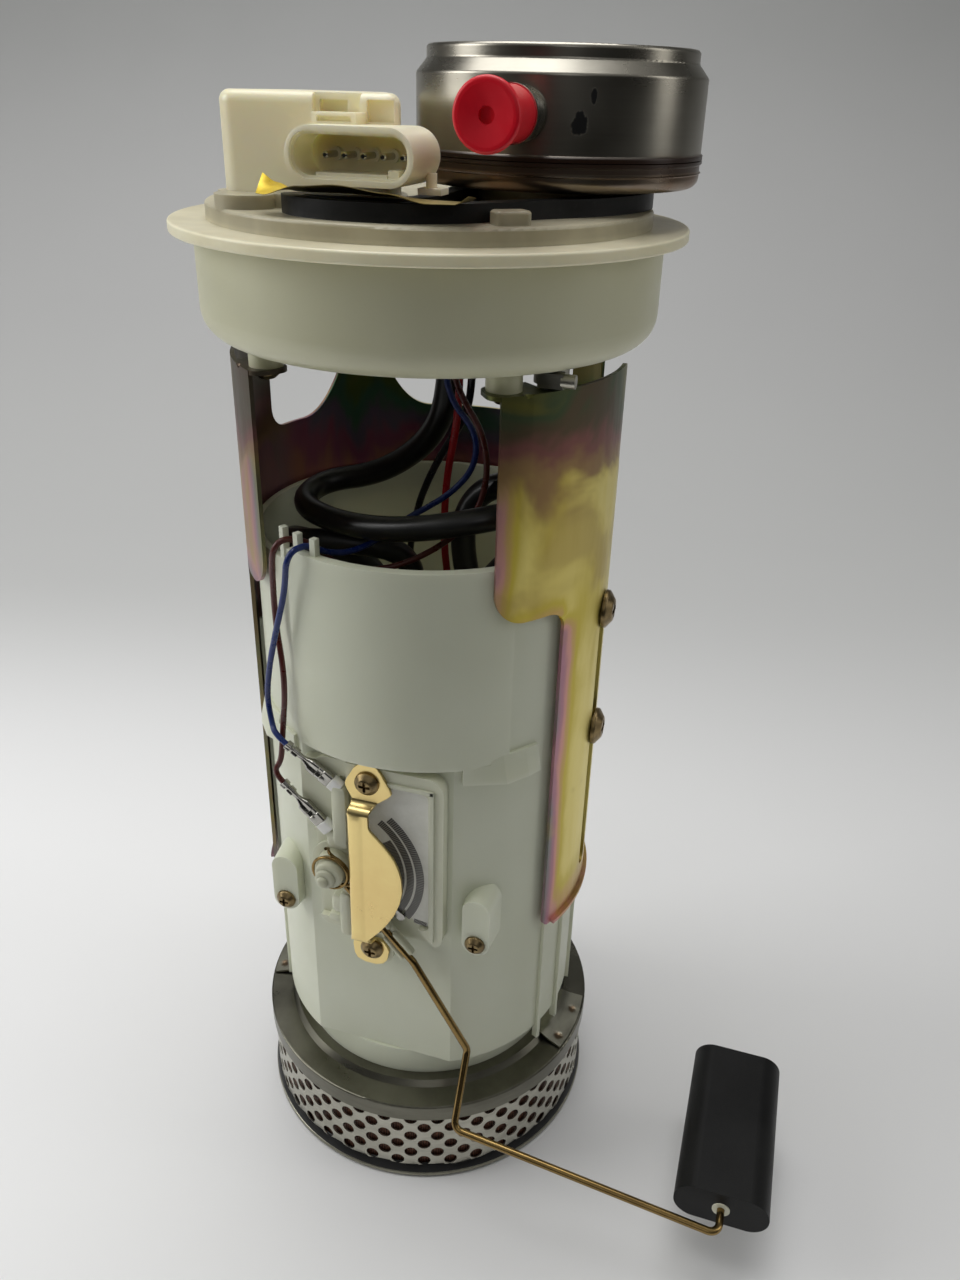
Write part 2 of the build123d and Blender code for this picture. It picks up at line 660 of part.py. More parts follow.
# ---------------------------------------------------------------- bracket
def corner_piece(azimuth, z, radius, across, up):
    """Square corner less its round, through the sheet; across and up point into the round."""
    square = Pos(across * (radius - 0.5) / 2, up * (radius - 0.5) / 2) * Rectangle(radius + 0.5, radius + 0.5)
    outline = square - Pos(across * radius, up * radius) * Circle(radius)
    place = Plane(origin=(0, 0, z), x_dir=polar(azimuth + 90, 1), z_dir=polar(azimuth, 1))
    return extrude(place * outline, amount=BRACKET_R + 5)


def bracket_half():
    """The bracket at positive azimuths, up to the middle of its back."""
    half = ring_sector(BRACKET_IN, BRACKET_R, WING_START, BACK_START, WING_LOW, BAND_TOP)
    neck = (NECK_AZIMUTH - NECK_HALF, NECK_AZIMUTH + NECK_HALF)
    pieces = [
        (WING_START, WING_END, WING_LOW, BRACKET_TOP),
        (LEG_START, LEG_END, LEG_LOW, BAND_TOP),
        (neck[0], neck[1], WING_LOW, BRACKET_TOP),
    ]
    for start, end, low, high in pieces:
        half = half + ring_sector(BRACKET_IN, BRACKET_R, start, end, low, high)
    rounds = [
        (WING_START, WING_LOW, WING_CORNER, 1, 1),
        (WING_END, BRACKET_TOP, 2.0, -1, -1),
        (LEG_START, LEG_LOW, 3.0, 1, 1),
        (LEG_END, LEG_LOW, 3.0, -1, 1),
    ]
    for azimuth, z, radius, across, up in rounds:
        half = half - corner_piece(azimuth, z, radius, across, up)
    sheet = tube(BRACKET_R, BRACKET_IN, LEG_LOW, BRACKET_TOP)
    fillets = [
        (LEG_START, WING_LOW, 4.0, -1, -1),
        (LEG_END, WING_LOW, 4.0, 1, -1),
        (WING_END, BAND_TOP, NECK_FLARE, 1, 1),
        (neck[0], BAND_TOP, NECK_FLARE, -1, 1),
        (neck[1], BAND_TOP, NECK_FLARE, 1, 1),
    ]
    for azimuth, z, radius, across, up in fillets:
        half = half + (corner_piece(azimuth, z, radius, across, up) & sheet)
    return half


def bracket():
    half = bracket_half()
    inner = BRACKET_R - TAB_DEPTH
    lip = ring_sector(BRACKET_IN, BRACKET_R + LEG_LIP, LEG_START + 4, LEG_END - 4, LEG_LOW, LEG_LOW + SHEET)
    top = BRACKET_TOP - SHEET
    front_tab = ring_sector(inner, BRACKET_R, TAB_START, TAB_END, top, BRACKET_TOP)
    nose = front_tab.edges().filter_by(Axis.Z).sort_by_distance(polar(TAB_START, inner + 5, top))[0:2]
    front_tab = fillet(nose, 4.0)
    back_tab = ring_sector(inner, BRACKET_R, NECK_AZIMUTH - NECK_HALF, NECK_AZIMUTH + NECK_HALF, top, BRACKET_TOP)
    half = half + front_tab + back_tab + lip
    half = half - Pos(*polar(GUSSET_AZIMUTH, BRACKET_R + 0.9, BRACKET_TOP + 0.9)) * Sphere(GUSSET_R)
    back = ring_sector(BRACKET_IN, BRACKET_R, BACK_START - 1, 361 - BACK_START, WING_LOW, BAND_TOP)
    sheet = half + mirrored(half) + back
    slot = Plane.YZ * (Pos(0, (SLOT_HIGH + SLOT_LOW) / 2) * Rot(0, 0, 90) * SlotOverall(SLOT_HIGH - SLOT_LOW, SLOT_W))
    sheet = sheet - extrude(slot, amount=BRACKET_R + 5, both=True)
    for spot in bracket_screw_spots():
        sheet = sheet - Pos(spot.X, spot.Y, BRACKET_TOP) * Cylinder(2.0, 4 * SHEET)
    return sheet


def bracket_screw_spots():
    azimuths = (TAB_BOSS_AZIMUTH, NECK_AZIMUTH, -NECK_AZIMUTH, -TAB_BOSS_AZIMUTH)
    return [polar(azimuth, TAB_BOSS_R) for azimuth in azimuths]


def bracket_screws():
    screw = Rot(180, 0, 0) * domed_screw(3.6, 2.2, 1.8, SHEET + 5.5)
    low = BRACKET_TOP - SHEET
    return Compound([Pos(spot.X, spot.Y, low) * screw for spot in bracket_screw_spots()])


# ---------------------------------------------------------------- flange
def tower_footprint(grow=0.0):
    left, right = TOWER_LEFT - grow, 5.7 + grow
    points = [
        (left, -TOWER_FRONT - grow), (right, -TOWER_FRONT - grow), (-1.5 + grow, -18.5),
        (-9, -8), (-12, 6 + grow), (left, 6 + grow),
    ]
    return profile(points, {0: TOWER_CORNER, 1: 3.0, 4: TOWER_CORNER, 5: TOWER_CORNER})


def mounting_flange():
    flange = disc(FLANGE_R, FLANGE_LOW, FLANGE_TOP)
    flange = fillet(flange.edges(), 0.7)
    flange = flange - disc(CUP_R + FIT_GAP, FLANGE_LOW - 1, FLANGE_LOW + CUP_SEAT)
    platform = disc(PLATFORM_R, FLANGE_TOP - 0.5, PLATFORM_TOP)
    platform = fillet(platform.edges().group_by(Axis.Z)[-1], 0.8)
    flange = flange + platform
    pad = Pos(0, 0, PLATFORM_TOP - 0.5) * extrude(tower_footprint(1.6), amount=PAD_H + 0.5)
    ear = disc(7.5, PLATFORM_TOP - 0.5, PAD_TOP, -34.5, -40.0)
    flange = flange + pad + ear
    seat = disc(SEAT_R, PLATFORM_TOP - 0.5, CAN_LOW, CAN_X, CAN_Y)
    lug = Pos(*polar(LUG_AZIMUTH, PLATFORM_R - 5.4, PLATFORM_TOP + 1.3)) * Rot(0, 0, LUG_AZIMUTH) * Box(8.8, 6.0, 3.6)
    lug = fillet(lug.edges().filter_by(Axis.Z), 1.6)
    lug = fillet(lug.edges().group_by(Axis.Z)[-1], 0.8)
    return flange + seat + lug


def flange_cup():
    """Closed cup under the flange that fills the tank's opening."""
    inner = CUP_R - CUP_T
    seat = FLANGE_LOW + CUP_SEAT
    cup = turned(
        [(0, CUP_LOW), (CUP_R, CUP_LOW), (CUP_R, seat), (inner, seat),
         (inner, CUP_LOW + CUP_T), (0, CUP_LOW + CUP_T)],
        {1: CUP_EDGE, 4: CUP_EDGE - CUP_T},
    )
    for spot in bracket_screw_spots():
        cup = cup + disc(CUP_BOSS_R, BRACKET_TOP, CUP_LOW + CUP_T + 3, spot.X, spot.Y)
        cup = cup - disc(1.8, BRACKET_TOP - 1, BRACKET_TOP + 6, spot.X, spot.Y)
    for x, y, radius in ((SUPPLY_X, SUPPLY_Y, PIPE_R), (RETURN_X, RETURN_Y, PIPE_R),
                         (GROMMET_X, GROMMET_Y, 5.0)):
        cup = cup - disc(radius, CUP_LOW - 1, CUP_LOW + CUP_T + 1, x, y)
    return cup


def fuel_pipe(x, y):
    """Pipe stub with a hose barb, fixed in the cup's floor."""
    stub = disc(PIPE_R, PIPE_END, FLANGE_LOW - 6, x, y)
    collar = disc(PIPE_R + 2.2, CUP_LOW + CUP_T, CUP_LOW + CUP_T + 2, x, y)
    return stub + collar - disc(PIPE_R - 0.8, PIPE_END - 1, FLANGE_LOW, x, y)


def harness_grommet():
    top = CUP_LOW + CUP_T
    plug = disc(5.0, CUP_LOW, top, GROMMET_X, GROMMET_Y)
    low_rim = disc(6.4, CUP_LOW - 2.4, CUP_LOW, GROMMET_X, GROMMET_Y)
    high_rim = disc(6.4, top, top + 2.0, GROMMET_X, GROMMET_Y)
    return plug + low_rim + high_rim


def hose_clamp():
    """Worm-drive clamp round the return hose, close under the cup."""
    low, high = CUP_LOW - 4.5, CUP_LOW - 0.5
    middle = (low + high) / 2
    band = tube(HOSE_R + 0.95, HOSE_R + 0.05, low, high, RETURN_X, RETURN_Y)
    housing = Pos(RETURN_X + 1.5, RETURN_Y - HOSE_R - 2.4, middle) * Box(6.5, 3.4, 3.8)
    worm = Pos(RETURN_X + 6.0, RETURN_Y - HOSE_R - 2.6, middle) * Rot(0, 90, 0) * Cylinder(1.8, 3.6)
    return band + housing + worm


def flange_gasket():
    """Rubber ring that lies on the platform, round the canister's seat."""
    points = [
        (-21, -43.2), (-15, -50.2), (-3, -54.3), (12, -52.8), (23, -45.5), (36, -28), (50, -12), (57.4, 8),
        (52, 31), (34, 41), (13, 35), (4.6, 16), (10.5, -6), (10.3, -38), (4.0, -42.4), (-15, -42.2),
    ]
    points = [Vector(*point, 0) for point in points]
    loop = points + points[:2]
    radii = bend_radii([tuple(point) for point in loop])
    radii = [radii[-1]] + radii[:-1]
    line = FilletPolyline(*points, radius=radii, close=True)
    centre = make_face(line)
    ring = offset(centre, GASKET_W / 2) - offset(centre, -GASKET_W / 2)
    return Pos(0, 0, PLATFORM_TOP) * extrude(ring, amount=GASKET_H, dir=(0, 0, 1))


# ---------------------------------------------------------------- connector
def connector_tower():
    body = Pos(0, 0, PAD_TOP) * extrude(tower_footprint(), amount=TOWER_H, dir=(0, 0, 1))
    body = fillet(body.edges().group_by(Axis.Z)[-1], TOWER_EDGE)
    front, top = -TOWER_FRONT, PAD_TOP + TOWER_H
    outline = RectangleRounded(SHROUD_W, SHROUD_H, SHROUD_H / 2 - 0.1)
    shroud = facing(SHROUD_X, SHROUD_Z, TOWER_FRONT - 3) * outline
    shroud = extrude(shroud, amount=SHROUD_FACE - TOWER_FRONT + 3)
    crown = SHROUD_Z + SHROUD_H / 2
    # latch window above the shroud, with its bridge
    body = body - bar(SHROUD_X - 15.5, SHROUD_X - 3.2, front - 1, front + 1.8, crown + 1.0, top + 1)
    body = body - bar(SHROUD_X - 14.2, SHROUD_X - 7.0, front - 1, front + 3.4, crown + 2.0, top - 1.6)
    body = body - bar(SHROUD_X - 1.5, SHROUD_X + 4.9, front - 1, front + 1.6, crown + 0.4, top - 1.4)
    body = body + shroud
    bridge = bar(SHROUD_X - 12.7, SHROUD_X - 1.7, front - 6.0, front + 1, crown - 0.6, crown + 2.4)
    body = body + bridge - bar(SHROUD_X - 11.5, SHROUD_X - 2.9, front - 7.0, front - 4.9, crown + 0.5, crown + 1.7)
    cavity_w = SHROUD_W - 2 * SHROUD_WALL
    cavity_h = SHROUD_H - 2 * SHROUD_WALL
    cavity = RectangleRounded(cavity_w, cavity_h, cavity_h / 2 - 0.6)
    body = body - extrude(facing(SHROUD_X, SHROUD_Z, SHROUD_FLOOR) * cavity, amount=20)
    bevel = RectangleRounded(cavity_w + 1.6, cavity_h + 1.2, cavity_h / 2)
    body = body - extrude(facing(SHROUD_X, SHROUD_Z, SHROUD_FACE - 1.0) * bevel, amount=4)
    low = SHROUD_Z - cavity_h / 2
    body = body + bar(SHROUD_X - 9.0, SHROUD_X + 8.6, -SHROUD_FACE + 2.0, -SHROUD_FLOOR + 0.5, low - 0.5, low + 0.7)
    body = body + bar(SHROUD_X + 8.9, SHROUD_X + 11.4, -SHROUD_FACE + 2.0, -SHROUD_FLOOR + 0.5, low - 0.5, low + 1.7)
    for x in pin_places():
        body = body + extrude(facing(x, SHROUD_Z, SHROUD_FLOOR - 0.5) * Circle(2 * PIN_R), amount=2.0)
        body = body - extrude(facing(x, SHROUD_Z, SHROUD_FLOOR - 2) * Circle(PIN_R + 0.02), amount=6)
    right = SHROUD_X + SHROUD_W / 2
    peg = Pos(right - 0.4, front - 2, SHROUD_Z - 5.4) * Cylinder(1.3, 4.0)
    tab = bar(right - 3, right + 2.8, front - 4.4, front + 1, SHROUD_Z - 8.0, SHROUD_Z - 6.6)
    return body + peg + tab


def pin_places():
    first = SHROUD_X + PIN_SHIFT - PIN_PITCH * (PIN_COUNT - 1) / 2
    return [first + PIN_PITCH * index for index in range(PIN_COUNT)]


def terminal_pins():
    pins = []
    for x in pin_places():
        pin = facing(x, SHROUD_Z, SHROUD_FLOOR - 2) * Cylinder(PIN_R, PIN_TIP - SHROUD_FLOOR + 2, align=(
            Align.CENTER, Align.CENTER, Align.MIN))
        pins.append(chamfer(pin.edges().sort_by(Axis.Y)[0], 0.3))
    return Compound(pins)


def foil_label():
    """Thin bare tag, curled, that lies on the rubber ring before the connector."""
    base = PLATFORM_TOP + GASKET_H
    near = [(-21.5, 0.1), (-12, 2.6), (-1, 3.25), (9, 2.0), (20, 0.4), (28.5, 1.7)]
    far = [(-20.5, 0.05), (-12, 0.5), (-1, 0.9), (9, 0.5), (20, 0.1), (27.5, 1.3)]
    faces = []
    for front, crest in ((56.4, near), (45.5, far)):
        under = Spline(*[(x, base + z) for x, z in crest])
        over = Spline(*[(x, base + z + FOIL_T) for x, z in crest])
        first, last = crest[0], crest[-1]
        edges = [under, over, Line((first[0], base + first[1]), (first[0], base + first[1] + FOIL_T)),
                 Line((last[0], base + last[1]), (last[0], base + last[1] + FOIL_T))]
        faces.append(Plane.XZ.offset(front) * make_face(edges))
    return loft(faces, ruled=True)


# ---------------------------------------------------------------- canister
def at_canister(shape):
    return Pos(CAN_X, CAN_Y, 0) * shape


def canister_shell():
    """Drawn cup with a stepped neck and a rolled lip at the seam below."""
    shoulder_low, shoulder_high = CAN_TOP - 2 * CAN_NECK_H, CAN_TOP - CAN_NECK_H
    lid = CAN_TOP - 2.0
    outer = [(CAN_R + 0.5, CAN_SEAM), (CAN_R + 0.5, CAN_SEAM + 0.9), (CAN_R, CAN_SEAM + 1.4), (CAN_R, shoulder_low),
             (CAN_NECK_R, shoulder_high), (CAN_NECK_R, CAN_TOP), (CAN_NECK_R - 3.0, CAN_TOP),
             (CAN_NECK_R - 4.5, lid), (0, lid)]
    inner = [(0, lid - CAN_T), (CAN_NECK_R - 4.5 - CAN_T, lid - CAN_T),
             (CAN_NECK_R - CAN_T, lid - CAN_T), (CAN_NECK_R - CAN_T, shoulder_high),
             (CAN_R - CAN_T, shoulder_low), (CAN_R - CAN_T, CAN_SEAM)]
    shell = turned(outer + inner, {1: 0.3, 3: 1.0, 4: 0.8, 5: 1.0})
    bore = Plane(origin=(0, 0, NIPPLE_Z), x_dir=(1, 0, 0), z_dir=(0, -1, 0)) * Circle(NIPPLE_R)
    return at_canister(shell - extrude(bore, amount=CAN_R + 2))


def canister_base():
    """Lower cup with a weld line, closed to the shell at the rolled seam."""
    bead = CAN_LOW + SEAM_UP / 2
    points = [(0, CAN_LOW), (CAN_R, CAN_LOW), (CAN_R, bead), (CAN_R + 0.4, bead + 0.3), (CAN_R, bead + 0.6),
              (CAN_R, CAN_SEAM - 1.4), (CAN_R + 0.5, CAN_SEAM - 1.0), (CAN_R + 0.5, CAN_SEAM - 0.3),
              (CAN_R, CAN_SEAM), (CAN_R - CAN_T, CAN_SEAM), (CAN_R - CAN_T, CAN_LOW + CAN_T + 1.2),
              (0, CAN_LOW + CAN_T + 1.2)]
    return at_canister(turned(points, {1: 2.8}))


def filter_element():
    low, high = CAN_LOW + CAN_T + 1.2, CAN_TOP - 8.0
    return at_canister(tube(CAN_R - 6, 14, low, high))


def pressure_regulator():
    low = CAN_LOW + CAN_T + 1.2
    body = turned([(0, low), (11, low), (11, low + 8), (7, low + 10), (7, low + 17), (0, low + 17)],
                  {2: 1.0, 4: 1.0})
    return at_canister(body)


def along_nipple(start, end, outer, inner=0.0):
    """Ring on the nipple's axis, by distances from the canister's axis."""
    plane = Plane(origin=(CAN_X, CAN_Y - start, NIPPLE_Z), x_dir=(1, 0, 0), z_dir=(0, -1, 0))
    ring = Circle(outer) - Circle(inner) if inner > 0 else Circle(outer)
    return extrude(plane * ring, amount=end - start)


def outlet_nipple():
    pipe = along_nipple(CAN_R - 4, CAN_R + NIPPLE_REACH - 3, NIPPLE_R)
    sleeve = along_nipple(CAN_R - 2, CAN_R + NIPPLE_RING_AT - 0.5, NIPPLE_SLEEVE_R)
    collar = along_nipple(CAN_R - 2, CAN_R + 1.6, PLUG_R)
    outside = sleeve + collar - at_canister(disc(CAN_R, NIPPLE_Z - 20, NIPPLE_Z + 20))
    ring = along_nipple(CAN_R + NIPPLE_RING_AT - 1.1, CAN_R + NIPPLE_RING_AT, PLUG_R + 0.3)
    bore = along_nipple(CAN_R - 5, CAN_R + NIPPLE_REACH, NIPPLE_R - 1.0)
    return pipe + outside + ring - bore


def port_plug():
    """Soft cap over the nipple, with a dished flange to pull it by."""
    start = CAN_R + NIPPLE_RING_AT + 0.3
    end = CAN_R + NIPPLE_REACH + 1.3
    body = along_nipple(start, end, PLUG_R)
    flange = fillet(along_nipple(end - 2.2, end, PLUG_DISC_R).edges(), 0.9)
    dish = Plane(origin=(CAN_X, CAN_Y - end, NIPPLE_Z), x_dir=(1, 0, 0), z_dir=(0, -1, 0))
    cone = dish * Cone(1.8, PLUG_DISC_R - 1.4, 0.8, align=(Align.CENTER, Align.CENTER, Align.MAX))
    pit = dish * Cylinder(1.8, 1.8, align=(Align.CENTER, Align.CENTER, Align.MAX))
    plug = body + flange - cone - pit
    return plug - along_nipple(start - 1, CAN_R + NIPPLE_REACH - 2.6, NIPPLE_R + FIT_GAP)


# ---------------------------------------------------------------- pump
def at_pump(shape):
    return Pos(0, PUMP_Y, 0) * shape


def pump_shell():
    return at_pump(tube(PUMP_R, PUMP_R - PUMP_T, PUMP_LOW, PUMP_HIGH))


def pump_inlet_cover():
    low = BOWL_LOW + BOWL_T + 1
    cover = turned([(0, low + 3), (12, low + 3), (12, PUMP_LOW - 3), (PUMP_R, PUMP_LOW - 3), (PUMP_R, PUMP_LOW),
                    (PUMP_R - PUMP_T, PUMP_LOW), (PUMP_R - PUMP_T, PUMP_LOW + 7), (0, PUMP_LOW + 7)])
    cover = cover - disc(3.2, low, PUMP_LOW + 4)
    bearing = disc(SHAFT_R + RUNNING_GAP, PUMP_LOW + 2, PUMP_LOW + 8)
    return at_pump(cover - bearing)


def pump_isolator():
    return at_pump(tube(PUMP_R + 1.5, PUMP_R + 0.05, PUMP_LOW - 3, PUMP_LOW + 18))


def pump_top_cap():
    cap = turned([(0, PUMP_HIGH - 8), (PUMP_R - PUMP_T, PUMP_HIGH - 8), (PUMP_R - PUMP_T, PUMP_HIGH),
                  (PUMP_R, PUMP_HIGH), (PUMP_R, PUMP_HIGH + 2.4), (PUMP_R - 3, PUMP_HIGH + 5), (0, PUMP_HIGH + 5)],
                 {4: 0.8, 5: 0.8})
    barb = tube(PIPE_R, PIPE_R - 0.9, PUMP_HIGH + 4, PUMP_HIGH + 18, BARB_X, BARB_Y - PUMP_Y)
    jet = tube(PIPE_R, PIPE_R - 0.9, PUMP_HIGH + 4, PUMP_HIGH + 18, JET_X, JET_Y - PUMP_Y)
    bearing = disc(SHAFT_R + RUNNING_GAP, PUMP_HIGH - 9, PUMP_HIGH - 3)
    posts = Compound([disc(2.6, PUMP_HIGH + 4, PUMP_HIGH + 8, x, y) for x, y in PUMP_POSTS])
    return at_pump(cap + barb + jet + posts - bearing)


PUMP_POSTS = ((-9.0, -5.0), (-9.0, 6.0))


def pump_rotor():
    shaft = disc(SHAFT_R, PUMP_LOW + 3, PUMP_HIGH - 4)
    core = fillet(disc(ROTOR_R, PUMP_LOW + 18, PUMP_HIGH - 26).edges(), 2.0)
    commutator = disc(7.0, PUMP_HIGH - 24, PUMP_HIGH - 14)
    impeller = disc(PUMP_R - PUMP_T - 0.6, PUMP_LOW + 8, PUMP_LOW + 11)
    vanes = []
    for step in range(18):
        vanes.append(Rot(0, 0, 20 * step) * Pos(PUMP_R - PUMP_T - 1.4, 0, PUMP_LOW + 9.5) * Box(1.9, 1.6, 3.4))
    return at_pump(shaft + core + commutator + impeller - Compound(vanes))


# ---------------------------------------------------------------- hoses and leads
def hose(name, points):
    print(name, "bend radii", [round(radius, 1) for radius in bend_radii(points)])
    return swept(points, HOSE_R, HOSE_BORE)


def supply_hose():
    """From the cup, round the left and across the front, then down to the pump's outlet."""
    return hose("supply hose", [
        (SUPPLY_X, SUPPLY_Y, CUP_LOW - 1), (SUPPLY_X, SUPPLY_Y, 274.0), (0.0, -1.5, 258.0), (-18.0, 2.5, 244.6),
        (-37.0, 0.0, 240.8), (-37.0, -17.0, 238.8), (-18.0, -27.5, 238.8), (4.0, -33.0, 241.8),
        (26.0, -32.0, 247.6), (40.0, -19.0, 249.0), (43.0, 0.0, 243.0), (34.0, 18.0, 228.0),
        (16.0, 19.0, 210.0), (BARB_X, BARB_Y, 196.0), (BARB_X, BARB_Y, PUMP_HIGH + 6),
    ])


def return_hose():
    """From the clamp, over to the middle and down to the floor of the reservoir."""
    return hose("return hose", [
        (RETURN_X, RETURN_Y, CUP_LOW - 1), (RETURN_X, RETURN_Y, 272.0), (35.0, -19.5, 256.5), (20.0, -15.5, 250.4),
        (15.4, -18.0, 238.0), (20.0, -18.5, 216.0), (27.5, -18.0, 186.0), (28.0, -16.0, 130.0), (28.0, -12.0, 70.0),
    ])


def jet_hose():
    """From the pump's second barb, up round the left rim and down to the foot's jet."""
    return hose("jet hose", [
        (JET_X, JET_Y, PUMP_HIGH + 6), (JET_X, JET_Y, 192.0), (-1.5, -11.5, 208.0), (-1.5, -12.5, 226.0),
        (-17.0, -22.5, 231.6), (-40.0, -23.0, 229.0), (-42.0, -6.0, 223.5),
        (-11.0, -8.5, 218.0), (-10.5, -26.0, 197.0), (-26.0, -32.0, 184.0), (-26.0, -32.0, BOWL_LOW + BOWL_T + 1),
    ])


def barrel_mouth(index, back=0.0):
    """Point on a receptacle's axis, back from the mouth of its barrel."""
    x, z, angle = TERMINALS[index]
    reach = 0.4 - back
    return (x + reach * cos(radians(angle)), -HOUSING_FACE - 0.6, z + reach * sin(radians(angle)))


def pump_post(index, above=0.0):
    x, y = PUMP_POSTS[index]
    return (x, y + PUMP_Y, PUMP_HIGH + 8 + above)


GROMMET_LOW = CUP_LOW - 2.4
LEADS = {
    "wire_blue": [
        (10.8, -18.5, GROMMET_LOW), (10.8, -18.5, 283.0), (13.2, -18.4, 275.4),
        (18.6, -18.2, 269.8), (20.4, -18.2, 263.6), (18.8, -18.4, 256.4), (12.8, -18.6, 249.4),
        (5.8, -18.6, 244.2), (0.0, -20.0, 240.6), (-5.0, -24.0, 236.2), (-11.6, -34.0, 233.4),
        (-16.0, -42.6, 236.0), (-18.6, -49.0, 241.0), (-21.6, -55.8, 240.0), (-24.2, -52.9, 227.5),
        (-28.1, -52.3, 214.7), (-32.8, -49.8, 200.1), (-35.3, -48.3, 188.1), (-33.6, -49.7, 180.1),
        barrel_mouth(0, 4.5), barrel_mouth(0),
    ],
    "wire_brown": [
        (14.0, -20.9, GROMMET_LOW), (14.0, -20.9, 283.6), (17.4, -20.9, 276.6),
        (21.8, -21.0, 270.4), (24.2, -21.4, 263.2), (24.4, -22.0, 255.0), (22.4, -22.8, 247.0),
        (17.0, -23.8, 239.6), (7.2, -24.6, 231.6), (-3.6, -28.4, 226.8), (-14.0, -38.0, 229.4),
        (-21.5, -41.8, 239.0), (-28.0, -51.4, 242.0), (-30.8, -47.7, 225.2), (-30.9, -47.3, 211.7),
        (-28.5, -49.4, 200.7), (-28.2, -50.2, 190.6), (-29.7, -49.3, 181.9), (-29.7, -51.0, 175.5),
        (-30.2, -51.8, 167.8),
        barrel_mouth(1, 4.5), barrel_mouth(1),
    ],
    "wire_red": [
        (13.6, -14.2, GROMMET_LOW), (13.6, -14.2, 282.0), (12.8, -13.8, 268.0),
        (9.8, -13.0, 253.6), (8.8, -12.4, 241.4), (8.8, -12.2, 230.0), (9.4, -11.0, 220.0),
        (8.0, -2.0, 204.0), (0.0, 5.2, 190.0), (-8.0, 5.0, 181.0),
        pump_post(0, 8), pump_post(0),
    ],
    "wire_black": [
        (17.9, -16.3, GROMMET_LOW), (17.9, -16.3, 283.0), (14.8, -10.4, 270.6), (6.4, -9.0, 257.4),
        (0.6, -8.0, 245.4), (-2.8, -6.0, 235.8), (-8.0, 2.0, 220.0), (-11.6, 12.0, 200.0),
        pump_post(1, 8), pump_post(1),
    ],
}
LEAD_RADII = {"wire_blue": LEAD_R, "wire_brown": LEAD_R, "wire_red": PUMP_LEAD_R, "wire_black": PUMP_LEAD_R}


def lead(name):
    points = LEADS[name]
    print(name, "bend radii", [round(radius, 1) for radius in bend_radii(points)])
    return swept(points, LEAD_RADII[name])


# ---------------------------------------------------------------- nodes
NODES = {
    "strainer_top_plate": strainer_top_plate,
    "perforated_band": perforated_band,
    "strainer_mesh": strainer_mesh,
    "potting_ring": potting_ring,
    "strainer_bottom_plate": strainer_bottom_plate,
    "clip_plates": clip_plates,
    "reservoir": reservoir,
    "slot_screws": slot_screws,
    "boss_screws": boss_screws,
    "sensor_housing": sensor_housing,
    "resistor_card": resistor_card,
    "resistor_track": resistor_track,
    "cover_plate": cover_plate,
    "sensor_screws": sensor_screws,
    "receptacles": receptacles,
    "spade_terminals": spade_terminals,
    "arm_hub": arm_hub,
    "wiper": wiper,
    "hub_spring": hub_spring,
    "float_wire": float_wire,
    "float_clip": float_clip,
    "float_body": float_body,
    "float_bushing": float_bushing,
    "bracket": bracket,
    "bracket_screws": bracket_screws,
    "mounting_flange": mounting_flange,
    "flange_cup": flange_cup,
    "supply_pipe": lambda: fuel_pipe(SUPPLY_X, SUPPLY_Y),
    "return_pipe": lambda: fuel_pipe(RETURN_X, RETURN_Y),
    "harness_grommet": harness_grommet,
    "hose_clamp": hose_clamp,
    "flange_gasket": flange_gasket,
    "connector_tower": connector_tower,
    "terminal_pins": terminal_pins,
    "foil_label": foil_label,
    "canister_shell": canister_shell,
    "canister_base": canister_base,
    "filter_element": filter_element,
    "pressure_regulator": pressure_regulator,
    "outlet_nipple": outlet_nipple,
    "port_plug": port_plug,
    "pump_shell": pump_shell,
    "pump_inlet_cover": pump_inlet_cover,
    "pump_isolator": pump_isolator,
    "pump_top_cap": pump_top_cap,
    "pump_rotor": pump_rotor,
    "supply_hose": supply_hose,
    "return_hose": return_hose,
    "jet_hose": jet_hose,
    "wire_blue": lambda: lead("wire_blue"),
    "wire_brown": lambda: lead("wire_brown"),
    "wire_red": lambda: lead("wire_red"),
    "wire_black": lambda: lead("wire_black"),
}

os.makedirs("parts", exist_ok=True)
for name, make in NODES.items():
    shape = make()
    if isinstance(shape, ShapeList):
        shape = Compound(list(shape))
    shape.label = name
    export_step(shape, f"parts/{name}.step")
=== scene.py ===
import json
import math

import bmesh
import bpy
from mathutils import Matrix, Vector


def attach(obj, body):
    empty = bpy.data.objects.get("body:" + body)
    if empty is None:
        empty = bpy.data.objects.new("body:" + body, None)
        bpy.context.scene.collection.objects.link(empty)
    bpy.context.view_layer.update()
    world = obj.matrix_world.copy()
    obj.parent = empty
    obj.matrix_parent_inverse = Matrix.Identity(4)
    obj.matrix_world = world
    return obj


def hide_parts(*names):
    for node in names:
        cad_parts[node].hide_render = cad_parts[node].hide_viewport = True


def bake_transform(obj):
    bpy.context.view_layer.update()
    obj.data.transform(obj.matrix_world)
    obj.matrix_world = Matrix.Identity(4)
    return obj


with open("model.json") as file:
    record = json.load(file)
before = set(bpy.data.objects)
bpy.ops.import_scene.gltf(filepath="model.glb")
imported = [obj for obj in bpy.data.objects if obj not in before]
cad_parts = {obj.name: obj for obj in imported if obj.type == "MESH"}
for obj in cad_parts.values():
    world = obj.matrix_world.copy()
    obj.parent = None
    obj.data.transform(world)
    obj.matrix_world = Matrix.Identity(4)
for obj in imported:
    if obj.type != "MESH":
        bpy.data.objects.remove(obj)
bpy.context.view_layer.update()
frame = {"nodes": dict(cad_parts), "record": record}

NODES = frame["nodes"]

